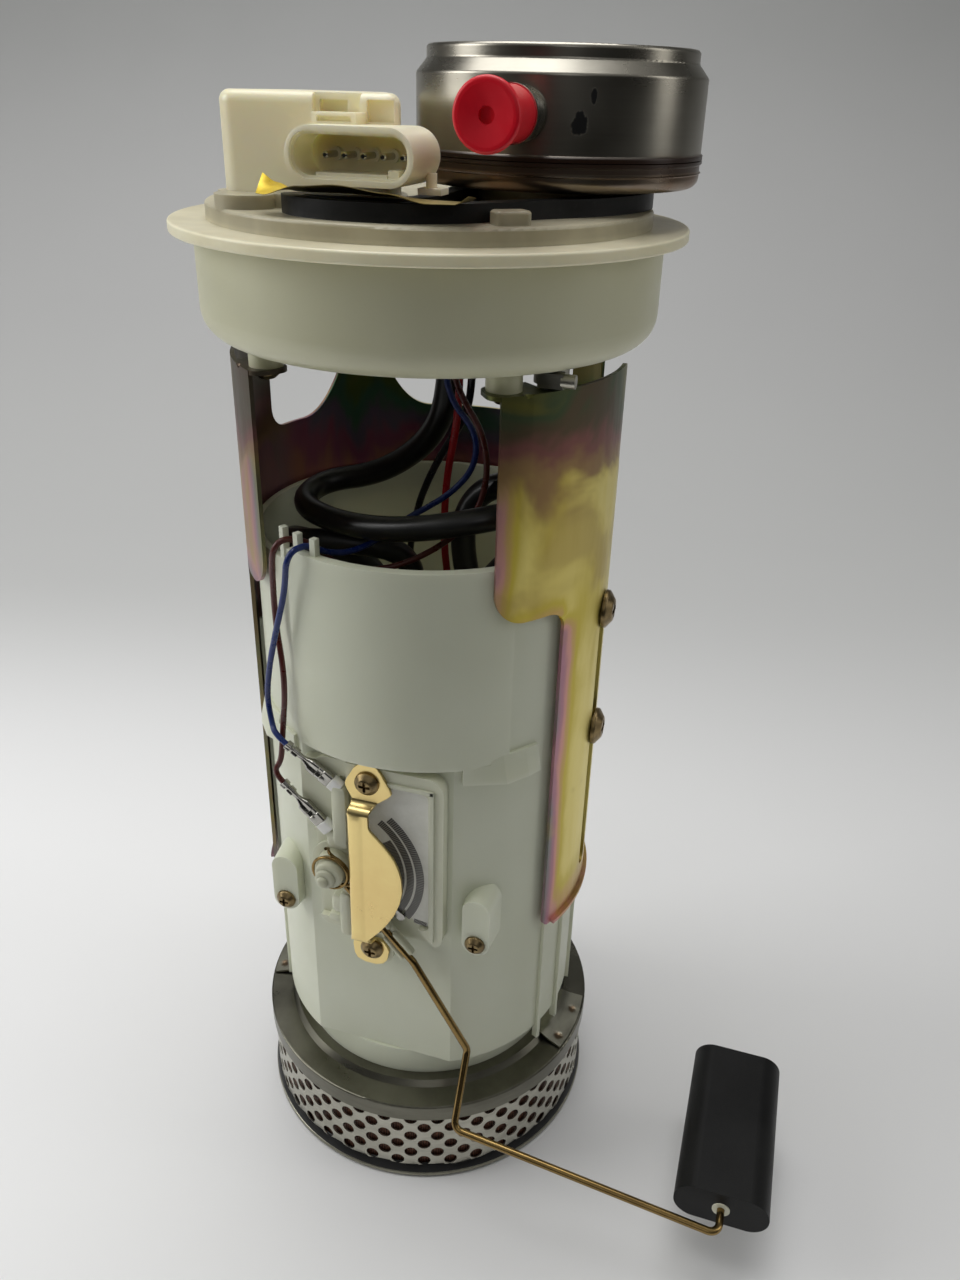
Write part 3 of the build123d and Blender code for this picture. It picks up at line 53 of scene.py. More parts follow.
# Driving dimensions, in millimetres and degrees. Azimuths run from -Y towards +X.
MM = 0.001
HUB_X, HUB_Z = -13.5, 131.5
CANISTER_X, CANISTER_Y = 31.3, 13.3
BAND_R = 61.0
FILLET_OUT, FILLET_IN = 57.03, 55.77
CLIP_WELDS = ((75.5, 58.6), (89.5, 58.9))
TERMINALS = ((-27.7, 175.6, -36.4), (-29.8, 161.1, -45.0))
TERMINAL_Y = -52.8


# Shader helpers.
class Look:
    """A node material, with short calls for the nodes it needs."""

    def __init__(self, name):
        self.material = bpy.data.materials.new(name)
        self.material.use_nodes = True
        self.tree = self.material.node_tree
        self.bsdf = self.tree.nodes["Principled BSDF"]
        self.place = self.add("ShaderNodeTexCoord").outputs["Object"]

    def add(self, kind, **settings):
        node = self.tree.nodes.new(kind)
        for key, value in settings.items():
            setattr(node, key, value)
        return node

    def put(self, node, socket, value):
        if isinstance(value, bpy.types.NodeSocket):
            self.tree.links.new(value, node.inputs[socket])
        elif value is not None:
            node.inputs[socket].default_value = value

    def set(self, **sockets):
        for name, value in sockets.items():
            self.put(self.bsdf, name.replace("_", " "), value)

    def math(self, operation, a, b=None):
        node = self.add("ShaderNodeMath", operation=operation)
        for index, value in enumerate((a, b)):
            self.put(node, index, value)
        return node.outputs[0]

    def plus(self, a, b):
        return self.math("ADD", a, b)

    def minus(self, a, b):
        return self.math("SUBTRACT", a, b)

    def times(self, a, b):
        return self.math("MULTIPLY", a, b)

    def stretch(self, place, scale):
        node = self.add("ShaderNodeVectorMath", operation="MULTIPLY")
        self.put(node, 0, place)
        self.put(node, 1, scale)
        return node.outputs[0]

    def noise(self, scale, detail=3.0, rough=0.55, place=None, twist=0.0):
        node = self.add("ShaderNodeTexNoise")
        self.put(node, "Vector", place or self.place)
        settings = {"Scale": scale, "Detail": detail, "Roughness": rough, "Distortion": twist}
        for key, value in settings.items():
            self.put(node, key, value)
        return node.outputs["Fac"]

    def ramp(self, fac, stops):
        node = self.add("ShaderNodeValToRGB")
        node.color_ramp.interpolation = "EASE"
        while len(node.color_ramp.elements) < len(stops):
            node.color_ramp.elements.new(0.5)
        for element, (at, colour) in zip(node.color_ramp.elements, stops):
            element.position = at
            colour = (colour,) * 3 if isinstance(colour, (int, float)) else colour
            element.color = (*colour, 1)
        self.put(node, "Fac", fac)
        return node.outputs["Color"]

    def mix(self, fac, a, b):
        node = self.add("ShaderNodeMix", data_type="RGBA")
        self.put(node, 0, fac)
        for socket, value in ((6, a), (7, b)):
            if isinstance(value, (tuple, list)):
                value = (*value[:3], 1)
            self.put(node, socket, value)
        return node.outputs[2]

    def span(self, value, low, high, to_low=0.0, to_high=1.0):
        """Smooth change from to_low at low to to_high at high."""
        node = self.add("ShaderNodeMapRange", interpolation_type="SMOOTHSTEP")
        for index, number in enumerate((value, low, high, to_low, to_high)):
            self.put(node, index, number)
        return node.outputs[0]

    def scatter(self, weight, radius):
        for name, value in (("Weight", weight), ("Radius", radius), ("Scale", 1.0)):
            self.bsdf.inputs["Subsurface " + name].default_value = value

    def bump(self, height, distance, strength=1.0):
        node = self.add("ShaderNodeBump")
        self.put(node, "Height", height)
        self.put(node, "Distance", distance)
        self.put(node, "Strength", strength)
        self.put(self.bsdf, "Normal", node.outputs["Normal"])

    def xyz(self, place=None):
        node = self.add("ShaderNodeSeparateXYZ")
        self.put(node, 0, place or self.place)
        return node.outputs[0], node.outputs[1], node.outputs[2]

    def far(self, x, y):
        """Distance from the origin to (x, y)."""
        return self.math("SQRT", self.plus(self.times(x, x), self.times(y, y)))

    def around(self, x0=0.0, y0=0.0):
        """Azimuth (radians, from -Y towards +X), radius and height about a vertical axis."""
        x, y, z = self.xyz()
        x = self.minus(x, x0)
        y = self.minus(y, y0)
        azimuth = self.math("ARCTAN2", x, self.times(y, -1.0))
        return azimuth, self.far(x, y), z

    def wrapped(self, x0, y0, around_scale, up_scale):
        """Place unrolled from a cylinder, so grain can run round it."""
        azimuth, radius, z = self.around(x0, y0)
        node = self.add("ShaderNodeCombineXYZ")
        self.put(node, 0, self.times(azimuth, around_scale))
        self.put(node, 1, self.times(radius, 60.0))
        self.put(node, 2, self.times(z, up_scale))
        return node.outputs[0]


def plastic(name, pale, deep, rough, subsurface, radius=(0.006, 0.0055, 0.005)):
    """Moulded plastic with cloudy depth, faint flow marks and a fine satin skin."""
    look = Look(name)
    cloud = look.noise(28.0, 2.0, 0.5)
    flow = look.noise(9.0, 4.0, 0.6, place=look.stretch(look.place, (1.0, 1.0, 0.35)), twist=0.6)
    tone = look.plus(look.times(cloud, 0.4), look.times(flow, 0.6))
    look.set(Base_Color=look.ramp(tone, [(0.3, deep), (0.7, pale)]))
    look.set(Roughness=look.span(look.noise(90.0, 4.0), 0.3, 0.7, rough - 0.05, rough + 0.07))
    if subsurface:
        look.scatter(subsurface, radius)
    look.bump(look.noise(1500.0, 2.0, 0.5), 0.00003, 0.5)
    return look.material


def metal(name, pale, deep, rough, streak=(1, 1, 1), scale=200.0, wear=0.1):
    """Metal with streaks along one direction and patches of duller skin."""
    look = Look(name)
    line = look.noise(scale, 5.0, 0.65, place=look.stretch(look.place, streak))
    patch = look.noise(22.0, 4.0, 0.6)
    tone = look.plus(look.times(line, 0.55), look.times(patch, 0.45))
    dull = look.plus(look.times(patch, 0.6), look.times(line, 0.4))
    look.set(Base_Color=look.ramp(tone, [(0.32, deep), (0.68, pale)]))
    look.bsdf.inputs["Metallic"].default_value = 1.0
    look.set(Roughness=look.span(dull, 0.3, 0.7, rough - wear, rough + wear))
    look.bump(line, 0.00002, 0.6)
    return look.material


def insulation(name, colour):
    """Extruded covering of a lead, with slow tone changes and handling dust."""
    look = Look(name)
    dust = look.noise(160.0, 5.0, 0.6)
    slow = look.noise(35.0, 2.0, 0.5)
    dark = tuple(value * 0.62 for value in colour)
    base = look.ramp(slow, [(0.3, dark), (0.7, colour)])
    pale = tuple(min(1.0, value * 1.1 + 0.05) for value in colour)
    look.set(Base_Color=look.mix(look.span(dust, 0.55, 0.75, 0.0, 0.3), base, pale))
    look.set(Roughness=look.span(dust, 0.3, 0.7, 0.22, 0.42))
    look.bump(look.noise(700.0, 2.0), 0.00002, 0.5)
    return look.material


def black_soft(name, rough, grain_scale, grain, pale=0.035, deep=0.012, dust=0.12):
    """Rubber or foam: near black, with a dusty bloom and an open or closed grain."""
    look = Look(name)
    patch = look.noise(30.0, 4.0, 0.6)
    speck = look.noise(grain_scale, 4.0, 0.7)
    base = look.ramp(patch, [(0.3, deep), (0.72, pale)])
    look.set(Base_Color=look.mix(look.span(speck, 0.56, 0.75, 0.0, dust), base, (0.16, 0.155, 0.145)))
    look.set(Roughness=look.span(patch, 0.3, 0.7, rough - 0.06, rough + 0.08))
    look.bump(speck, grain, 0.8)
    return look.material


def zinc_look():
    """Passivated zinc: yellow in mid face, with pink, purple and green films near edges and folds."""
    look = Look("zinc_look")
    deg = math.radians
    azimuth, radius, z = look.around()
    side = look.math("ABSOLUTE", azimuth)
    drift = look.noise(13.0, 4.0, 0.55, place=look.stretch(look.place, (1.0, 1.0, 0.5)), twist=0.7)
    fine = look.noise(70.0, 5.0, 0.6, place=look.stretch(look.place, (1.0, 1.0, 0.4)), twist=0.4)

    # How near each edge of the sheet is: the wings' front and low edges, the legs' edges and feet.
    rise = look.times(look.span(z, 0.2185, 0.2215), look.span(z, 0.2195, 0.231, 0.42, 0.0))
    below = look.span(z, 0.214, 0.2225, 1.0, 0.0)
    edge = look.span(side, deg(37.0), deg(46.0), 0.50, 0.0)
    for other in (
            look.times(rise, look.span(side, deg(60.0), deg(64.5), 1.0, 0.0)),
            look.times(below, look.span(side, deg(62.0), deg(71.0), 0.52, 0.0)),
            look.times(below, look.span(side, deg(108.0), deg(118.0), 0.0, 0.5)),
            look.span(z, 0.1015, 0.125, 0.42, 0.0)):
        edge = look.math("MAXIMUM", edge, other)

    # The half towards -X is pinker, and fades out round the back.
    fade = look.span(side, deg(120.0), deg(176.0), 1.0, 0.0)
    left = look.times(look.span(azimuth, -0.02, 0.02, 1.0, 0.0), fade)
    pinker = look.times(left, 0.42)
    wander = look.plus(look.plus(edge, pinker), look.span(drift, 0.34, 0.68, -0.12, 0.24))
    wander = look.plus(wander, look.span(fine, 0.3, 0.7, -0.05, 0.05))
    film = look.ramp(wander, [
        (0.00, (0.80, 0.68, 0.22)), (0.20, (0.64, 0.52, 0.085)), (0.36, (0.62, 0.42, 0.15)),
        (0.50, (0.66, 0.35, 0.30)), (0.64, (0.46, 0.24, 0.30)), (0.78, (0.25, 0.25, 0.25)),
        (0.90, (0.22, 0.27, 0.13)), (1.0, (0.26, 0.22, 0.09))])

    # Dark olive and brown colour towards the top.
    top = look.span(z, 0.246, 0.283, 0.0, 0.86)
    drifting = look.span(look.noise(24.0, 4.0, 0.5, twist=0.6), 0.32, 0.68, -0.22, 0.22)
    cloud = look.plus(top, drifting)
    dark = look.ramp(cloud, [
        (0.12, (0.52, 0.40, 0.08)), (0.34, (0.32, 0.20, 0.09)), (0.50, (0.23, 0.10, 0.085)),
        (0.66, (0.11, 0.085, 0.05)), (0.82, (0.075, 0.10, 0.05)), (1.0, (0.17, 0.16, 0.04))])
    film = look.mix(look.span(cloud, 0.06, 0.34), film, dark)
    film = look.mix(pinker, film, (0.16, 0.085, 0.085))

    # Dark rainbow on the inner face of the band.
    swirl = look.noise(19.0, 4.0, 0.5, place=look.stretch(look.place, (1.0, 1.0, 0.6)), twist=0.9)
    height = look.times(look.span(z, 0.222, 0.268), 0.62)
    inner = look.ramp(look.plus(height, look.span(swirl, 0.3, 0.7, -0.10, 0.42)), [
        (0.0, (0.46, 0.27, 0.10)), (0.22, (0.40, 0.17, 0.14)), (0.42, (0.30, 0.10, 0.17)),
        (0.58, (0.17, 0.13, 0.20)), (0.72, (0.08, 0.17, 0.12)), (0.88, (0.12, 0.17, 0.05)),
        (1.0, (0.20, 0.17, 0.05))])
    within = look.span(radius, 0.0560, 0.0564, 1.0, 0.0)
    within = look.times(within, look.span(side, deg(96.0), deg(110.0)))
    look.set(Base_Color=look.mix(within, film, inner))

    look.bsdf.inputs["Metallic"].default_value = 0.9
    scuff = look.noise(260.0, 5.0, 0.7, place=look.stretch(look.place, (1.0, 1.0, 0.12)))
    dull = look.plus(look.times(scuff, 0.6), look.times(drift, 0.4))
    look.set(Roughness=look.span(dull, 0.3, 0.7, 0.30, 0.46))
    look.bump(look.noise(50.0, 3.0), 0.00007, 0.35)
    return look.material


def canister_look():
    """Drawn stainless: fine turning lines, a heat-tinted double seam, and two dark dabs."""
    look = Look("canister_steel_look")
    centre_x, centre_y = MM * CANISTER_X, MM * CANISTER_Y
    line = look.noise(1.0, 2.0, 0.5, place=look.wrapped(centre_x, centre_y, 1.6, 1700.0))
    broad = look.noise(1.0, 3.0, 0.5, place=look.wrapped(centre_x, centre_y, 2.4, 60.0))
    tone = look.plus(look.times(line, 0.15), look.times(broad, 0.85))
    steel = look.ramp(tone, [(0.3, (0.31, 0.29, 0.245)), (0.7, (0.38, 0.36, 0.31))])
    x, y, z = look.xyz()
    wall = look.span(look.around(centre_x, centre_y)[1], 0.030, 0.036)

    ragged = look.plus(z, look.span(look.noise(55.0, 4.0), 0.3, 0.7, -0.0014, 0.0014))
    tint = look.times(look.span(ragged, 0.3405, 0.3355, 0.0, 1.0), wall)
    tint = look.times(tint, look.span(look.noise(38.0, 3.0), 0.35, 0.65, 0.35, 0.85))
    steel = look.mix(tint, steel, (0.20, 0.095, 0.04))
    seams = 0.0
    for height, half, depth in ((0.3380, 0.0008, 1.0), (0.3368, 0.0006, 0.95), (0.3355, 0.0006, 0.8)):
        gap = look.math("ABSOLUTE", look.minus(z, height))
        seam = look.times(look.span(gap, half * 0.5, half * 1.6, depth, 0.0), wall)
        steel = look.mix(seam, steel, (0.030, 0.014, 0.008))
        seams = look.math("MAXIMUM", seams, seam)

    dabs = 0.0
    for dab_x, dab_z, wide, tall in ((0.0446, 0.3459, 0.0019, 0.0027), (0.0475, 0.3512, 0.0007, 0.0019)):
        across = look.math("DIVIDE", look.minus(x, dab_x), wide)
        along = look.math("DIVIDE", look.minus(z, dab_z), tall)
        frayed = look.span(look.noise(330.0, 3.0), 0.3, 0.7, -0.25, 0.25)
        dab = look.span(look.plus(look.far(across, along), frayed), 0.75, 1.05, 1.0, 0.0)
        dabs = look.math("MAXIMUM", dabs, dab)
    dabs = look.times(dabs, look.times(look.span(y, -0.012, -0.008, 1.0, 0.0), wall))

    look.set(Base_Color=look.mix(dabs, steel, (0.006, 0.006, 0.007)))
    painted = look.times(look.math("MAXIMUM", dabs, seams), 0.85)
    look.set(Metallic=look.minus(1.0, painted))
    satin = look.span(tone, 0.3, 0.7, 0.27, 0.31)
    look.set(Roughness=look.plus(satin, look.times(dabs, 0.15)))
    look.bump(line, 0.000003, 0.3)
    return look.material


def mesh_look():
    """Woven filter cloth seen through the holes, with coppery warp threads."""
    look = Look("mesh_look")
    azimuth, _, z = look.around()
    across = look.math("SINE", look.times(azimuth, 420.0))
    along = look.math("SINE", look.times(z, 15000.0))
    weave = look.times(across, look.plus(0.8, look.times(along, 0.3)))
    patch = look.noise(70.0, 4.0, 0.65, place=look.wrapped(0.0, 0.0, 1.6, 12.0))
    base = look.ramp(patch, [
        (0.32, (0.012, 0.006, 0.004)), (0.5, (0.060, 0.022, 0.012)), (0.68, (0.22, 0.085, 0.045))])
    look.set(Base_Color=look.mix(look.span(weave, -0.2, 0.9, 0.0, 0.45), base, (0.30, 0.13, 0.075)))
    look.bsdf.inputs["Metallic"].default_value = 0.4
    look.bsdf.inputs["Roughness"].default_value = 0.5
    look.bump(weave, 0.00008, 0.8)
    return look.material


def ceramic_look():
    """Glazed sensor card, faintly mottled."""
    look = Look("ceramic_look")
    mottle = look.noise(120.0, 4.0, 0.6)
    look.set(Base_Color=look.ramp(mottle, [(0.3, (0.70, 0.70, 0.63)), (0.7, (0.80, 0.80, 0.74))]))
    look.set(Roughness=look.span(mottle, 0.3, 0.7, 0.28, 0.42))
    look.bump(look.noise(900.0, 2.0), 0.00002, 0.5)
    return look.material


def track_look():
    """Printed resistor bands with fine ladder lines towards the pivot."""
    look = Look("track_look")
    x, _, z = look.xyz()
    across = look.minus(x, MM * HUB_X)
    up = look.minus(z, MM * HUB_Z)
    angle = look.math("ARCTAN2", up, across)
    ladder = look.math("SINE", look.times(angle, 260.0))
    base = look.ramp(look.span(ladder, -0.4, 0.5), [(0.0, (0.05, 0.05, 0.048)), (1.0, (0.30, 0.29, 0.27))])
    worn = look.span(look.noise(300.0, 3.0), 0.4, 0.7, 0.0, 0.4)
    look.set(Base_Color=look.mix(worn, base, (0.12, 0.12, 0.11)))
    look.set(Roughness=look.span(ladder, -1.0, 1.0, 0.35, 0.55))
    look.bsdf.inputs["Metallic"].default_value = 0.4
    return look.material


def foil_look():
    """Crinkled bare foil, bright yellow on its upper side and dark bronze below; that dark underside is
    partly painted shade.
    """
    look = Look("foil_look")
    crease = look.noise(150.0, 5.0, 0.7, twist=0.5)
    slow = look.noise(45.0, 3.0, 0.5)
    normal = look.add("ShaderNodeNewGeometry").outputs["Normal"]
    up = look.xyz(normal)[2]
    bare = look.ramp(crease, [(0.3, (0.62, 0.42, 0.02)), (0.7, (0.86, 0.64, 0.05))])
    worn = look.ramp(slow, [(0.3, (0.20, 0.15, 0.05)), (0.7, (0.42, 0.33, 0.12))])
    top = look.mix(look.span(look.xyz()[0], -0.0195, -0.0165), bare, worn)
    # Faces turned down get the dark underside colour, which is partly painted shade.
    underside_and_painted_shade = look.ramp(slow, [(0.3, (0.11, 0.085, 0.035)), (0.7, (0.30, 0.235, 0.10))])
    look.set(Base_Color=look.mix(look.span(up, -0.1, 0.1), underside_and_painted_shade, top))
    look.bsdf.inputs["Metallic"].default_value = 0.55
    look.set(Roughness=look.span(crease, 0.3, 0.7, 0.26, 0.42))
    look.bump(crease, 0.00015, 0.5)
    return look.material


def flange_look():
    """Cream plastic, darker on its upper side, partly stain and partly painted shade."""
    look = Look("flange_stain_and_shade_look")
    patch = look.noise(30.0, 4.0, 0.6)
    z = look.xyz()[2]
    base = look.ramp(patch, [(0.3, (0.84, 0.775, 0.54)), (0.7, (0.93, 0.87, 0.64))])
    # Stain and painted shade: the upper side is darkened, and more so on the raised part above it.
    stain_and_painted_shade = look.plus(look.span(z, 0.3208, 0.3212, 0.0, 0.42), look.span(z, 0.3212, 0.3225, 0.0, 0.13))
    stain_and_painted_shade = look.plus(stain_and_painted_shade, look.span(look.noise(90.0, 4.0), 0.35, 0.65, -0.04, 0.04))
    look.set(Base_Color=look.mix(stain_and_painted_shade, base, (0.10, 0.082, 0.05)))
    look.set(Roughness=look.span(patch, 0.3, 0.7, 0.34, 0.42))
    look.scatter(0.2, (0.006, 0.005, 0.004))
    look.bump(look.noise(900.0, 3.0), 0.00003, 0.5)
    return look.material


def clip_look():
    """Rolled steel sheet with brown weld spots."""
    look = Look("clip_look")
    grain = look.noise(70.0, 4.0, 0.6, place=look.stretch(look.place, (1, 1, 5)))
    steel = look.ramp(grain, [(0.3, (0.26, 0.25, 0.20)), (0.7, (0.38, 0.37, 0.30))])
    x, y, _ = look.xyz()
    side = look.math("ABSOLUTE", x)
    burn = 0.0
    for azimuth, radius in CLIP_WELDS:
        weld_x, weld_y, _ = polar(azimuth, MM * radius, 0.0)
        far = look.far(look.minus(side, weld_x), look.minus(y, weld_y))
        far = look.plus(far, look.span(look.noise(500.0, 3.0), 0.3, 0.7, -0.0004, 0.0004))
        burn = look.math("MAXIMUM", burn, look.span(far, 0.0008, 0.0022, 1.0, 0.0))
    look.set(Base_Color=look.mix(look.times(burn, 0.8), steel, (0.11, 0.055, 0.02)))
    look.bsdf.inputs["Metallic"].default_value = 0.95
    look.set(Roughness=look.span(grain, 0.3, 0.7, 0.27, 0.38))
    look.bump(grain, 0.00001, 0.5)
    return look.material


def polar(azimuth, radius, z):
    """Point at an azimuth in degrees from -Y towards +X."""
    return (radius * math.sin(math.radians(azimuth)), -radius * math.cos(math.radians(azimuth)), z)


LOOKS = {
    "stainless": metal(
        "stainless_look", (0.56, 0.545, 0.47), (0.38, 0.37, 0.31), 0.33,
        streak=(1, 1, 6), scale=55.0, wear=0.06),
    "mesh": mesh_look(),
    "potting": black_soft("potting_look", 0.42, 260.0, 0.0002, 0.010, 0.004, 0.02),
    "bowl_plastic": plastic("bowl_look", (0.74, 0.765, 0.615), (0.67, 0.69, 0.54), 0.38, 0.3),
    "sensor_plastic": plastic("sensor_look", (0.70, 0.71, 0.56), (0.62, 0.63, 0.48), 0.42, 0.2),
    "hub_plastic": plastic("hub_look", (0.80, 0.79, 0.62), (0.70, 0.69, 0.52), 0.42, 0.25),
    "ceramic": ceramic_look(),
    "track": track_look(),
    "zinc": zinc_look(),
    "cover_zinc": metal("cover_look", (0.88, 0.71, 0.31), (0.80, 0.60, 0.26), 0.28, scale=38.0, wear=0.01),
    "dark_screw": metal("screw_look", (0.34, 0.25, 0.12), (0.12, 0.09, 0.05), 0.33, scale=400.0),
    "contact": metal("contact_look", (0.52, 0.51, 0.47), (0.34, 0.33, 0.30), 0.20, wear=0.05),
    "arm_wire": metal("arm_wire_look", (0.34, 0.23, 0.085), (0.20, 0.13, 0.05), 0.22, scale=90.0, wear=0.04),
    "float_foam": black_soft("float_look", 0.46, 1400.0, 0.00008, 0.008, 0.004, 0.03),
    "flange_plastic": plastic("flange_look", (0.88, 0.825, 0.61), (0.81, 0.745, 0.52), 0.36, 0.25),
    "cup_plastic": plastic("cup_look", (0.72, 0.71, 0.515), (0.65, 0.64, 0.45), 0.34, 0.25),
    "black_rubber": black_soft("rubber_look", 0.42, 500.0, 0.00006, 0.018, 0.008, 0.06),
    "foil": foil_look(),
    "canister_steel": canister_look(),
    "filter_paper": plastic("paper_look", (0.78, 0.70, 0.52), (0.66, 0.58, 0.42), 0.8, 0.0),
    "red_rubber": plastic(
        "plug_look", (0.80, 0.005, 0.022), (0.60, 0.003, 0.014), 0.36, 0.1, (0.004, 0.001, 0.001)),
    "pump_metal": metal(
        "pump_look", (0.66, 0.66, 0.64), (0.44, 0.44, 0.43), 0.35, streak=(1, 1, 8), scale=80.0),
    "pump_plastic": black_soft("pump_plastic_look", 0.45, 900.0, 0.00003, 0.06, 0.03),
    "pump_core": metal(
        "core_look", (0.36, 0.27, 0.19), (0.20, 0.15, 0.11), 0.45, streak=(1, 1, 30), scale=60.0),
    "supply_tube": black_soft("supply_look", 0.33, 500.0, 0.00002, 0.014, 0.007, 0.04),
    "return_tube": black_soft("return_look", 0.36, 500.0, 0.00002, 0.016, 0.008, 0.04),
    "lead_blue": insulation("blue_look", (0.010, 0.032, 0.19)),
    "lead_brown": insulation("brown_look", (0.11, 0.020, 0.015)),
    "lead_red": insulation("red_look", (0.52, 0.012, 0.018)),
    "lead_black": insulation("black_look", (0.012, 0.012, 0.014)),
}

# These have no gloss to speak of.
for slot_name in ("float_foam", "black_rubber", "potting"):
    shader = LOOKS[slot_name].node_tree.nodes["Principled BSDF"]
    shader.inputs["Specular IOR Level"].default_value = 0.22

SOCKET_LOOK = plastic("socket_look", (0.95, 0.95, 0.92), (0.88, 0.88, 0.84), 0.40, 0.2)
HUB_LOOK = plastic("hub_moulding_look", (0.62, 0.62, 0.46), (0.52, 0.52, 0.38), 0.34, 0.3)
DULL_STEEL = metal(
    "dull_steel_look", (0.20, 0.194, 0.155), (0.125, 0.12, 0.095), 0.30,
    streak=(1, 1, 6), scale=45.0, wear=0.05)

# CAD nodes that differ from the others of their slot.
NODE_LOOKS = {
    "strainer_top_plate": DULL_STEEL,
    "clip_plates": DULL_STEEL,
    "strainer_bottom_plate": metal(
        "base_steel_look", (0.36, 0.35, 0.28), (0.25, 0.24, 0.19), 0.32, scale=60.0, wear=0.05),
    "connector_tower": plastic(
        "tower_look", (0.95, 0.89, 0.66), (0.90, 0.83, 0.59), 0.34, 0.35, (0.008, 0.0065, 0.004)),
    "mounting_flange": flange_look(),
    "outlet_nipple": metal("bright_steel_look", (0.78, 0.76, 0.70), (0.58, 0.56, 0.51), 0.20, wear=0.04),
}


def wear(piece, look):
    piece.data.materials.clear()
    piece.data.materials.append(look)


for part in frame["record"]["subparts"]:
    for slot in NODES[part["node"]].material_slots:
        slot.material = LOOKS[part["material_slot"]]
for node_name, node_look in NODE_LOOKS.items():
    wear(NODES[node_name], node_look)


# Pieces that stand for CAD nodes.
class Net:
    """Points in millimetres and faces, gathered into one mesh."""

    def __init__(self):
        self.points = []
        self.faces = []

    def add(self, point):
        self.points.append(point)
        return len(self.points) - 1

    def grid(self, rows, around=False, ends=False):
        """Faces between rows of points; around joins each row's last point to its first."""
        table = [[self.add(point) for point in row] for row in rows]
        count = len(table[0])
        for lower, upper in zip(table, table[1:]):
            for index in range(count if around else count - 1):
                after = (index + 1) % count
                self.faces.append((lower[index], lower[after], upper[after], upper[index]))
        if ends:
            self.faces.append(tuple(reversed(table[0])))
            self.faces.append(tuple(table[-1]))

    def piece(self, name, slot, body, nodes, sharp, weld=0.0, thick=0.0, bevel=0.0, look=None):
        """One object from the net; thick gives a sheet its wall and bevel rounds that wall's edges."""
        data = bpy.data.meshes.new(name)
        data.from_pydata([tuple(MM * value for value in point) for point in self.points], [], self.faces)
        if weld:
            mesh = bmesh.new()
            mesh.from_mesh(data)
            bmesh.ops.remove_doubles(mesh, verts=mesh.verts, dist=MM * weld)
            mesh.to_mesh(data)
            mesh.free()
        piece = bpy.data.objects.new(name, data)
        bpy.context.collection.objects.link(piece)
        if thick:
            skin = piece.modifiers.new("skin", "SOLIDIFY")
            skin.thickness = MM * thick
            skin.offset = -1.0
            if bevel:
                round_edge = piece.modifiers.new("edge", "BEVEL")
                round_edge.width = MM * bevel
                round_edge.segments = 2
                round_edge.angle_limit = math.radians(50)
            graph = bpy.context.evaluated_depsgraph_get()
            piece.data = bpy.data.meshes.new_from_object(piece.evaluated_get(graph))
            piece.modifiers.clear()
        return finished(piece, slot, body, nodes, sharp, look)


def finished(piece, slot, body, nodes, sharp, look=None):
    """Shade and dress a piece in its slot's look, hide the CAD nodes it stands for, and attach it to its
    body.
    """
    for face in piece.data.polygons:
        face.use_smooth = True
    piece.data.set_sharp_from_angle(angle=math.radians(sharp))
    wear(piece, look or LOOKS[slot])
    if nodes:
        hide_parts(*nodes)
    if body:
        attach(piece, body)
    return piece


def filter_band():
    """Punched band with round holes, each in its own diamond of sheet."""
    net = Net()
    columns, rows = 40, 6
    first, pitch = 7.6, 4.42
    radius, hole = BAND_R, 2.35
    step = 360.0 / columns
    half = math.radians(step) * radius / 2
    low, high = 0.8, 36.4

    def on(azimuth, across, z):
        return polar(azimuth + math.degrees(across / radius), radius, z)

    corners = [(half, 0.0), (0.0, pitch), (-half, 0.0), (0.0, -pitch)]
    steps = 5
    for row in range(rows):
        height = first + pitch * row
        for column in range(columns):
            azimuth = step * (column + 0.5 * (row % 2))
            outer, inner = [], []
            for index in range(4):
                here, after = corners[index], corners[(index + 1) % 4]
                for part in range(steps):
                    t = part / steps
                    u = here[0] * (1 - t) + after[0] * t
                    v = here[1] * (1 - t) + after[1] * t
                    scale = hole / math.hypot(u, v)
                    outer.append(on(azimuth, u, height + v))
                    inner.append(on(azimuth, u * scale, height + v * scale))
            net.grid([inner, outer], around=True)
            for edge_row, side, border in ((0, -1, low), (rows - 1, 1, high)):
                if row != edge_row:
                    continue
                fan = []
                for part in range(2 * steps + 1):
                    t = abs(part - steps) / steps
                    u = half * (part / steps)
                    fan.append(net.add(on(azimuth, u, height + side * pitch * t)))
                net.faces.append(tuple(fan if side < 0 else reversed(fan)))
                tip = height + side * pitch
                strip = [on(azimuth, 0.0, tip), on(azimuth, 2 * half, tip)]
                ends = [polar(azimuth, radius, border), polar(azimuth + step, radius, border)]
                net.grid([ends, strip] if side < 0 else [strip, ends])
    net.piece(
        "filter_band", "stainless", "reservoir_unit", ["perforated_band"], sharp=35.0, weld=0.02, thick=0.5)


def potting_bead():
    """Black potting that crept unevenly up the foot of the band."""

    def wave(turns, phase=0.0):
        return math.sin(math.radians(azimuth * turns + phase))

    net = Net()
    profile = [(BAND_R + 0.05, 2.0, 0.0), (62.45, 2.0, 0.0), (62.4, 2.9, 0.1), (62.0, 3.9, 0.5),
               (61.5, 4.8, 0.9), (61.12, 5.3, 1.0), (BAND_R + 0.05, 5.3, 1.0)]
    rows = []
    for step in range(240):
        azimuth = 1.5 * step
        creep = 0.55 * wave(7, 40) * wave(3) + 0.35 * wave(19, 15) + 0.25 * wave(43)
        bulge = 0.12 * wave(23)
        row = []
        for radius, z, share in profile:
            row.append(polar(azimuth, radius + bulge * share, z + (0.35 + creep) * share))
        rows.append(row)
    rows.append(rows[0])
    net.grid(rows, around=True)
    net.piece(
        "potting_bead", "potting", "reservoir_unit", ["potting_ring"], sharp=60.0, weld=0.001)


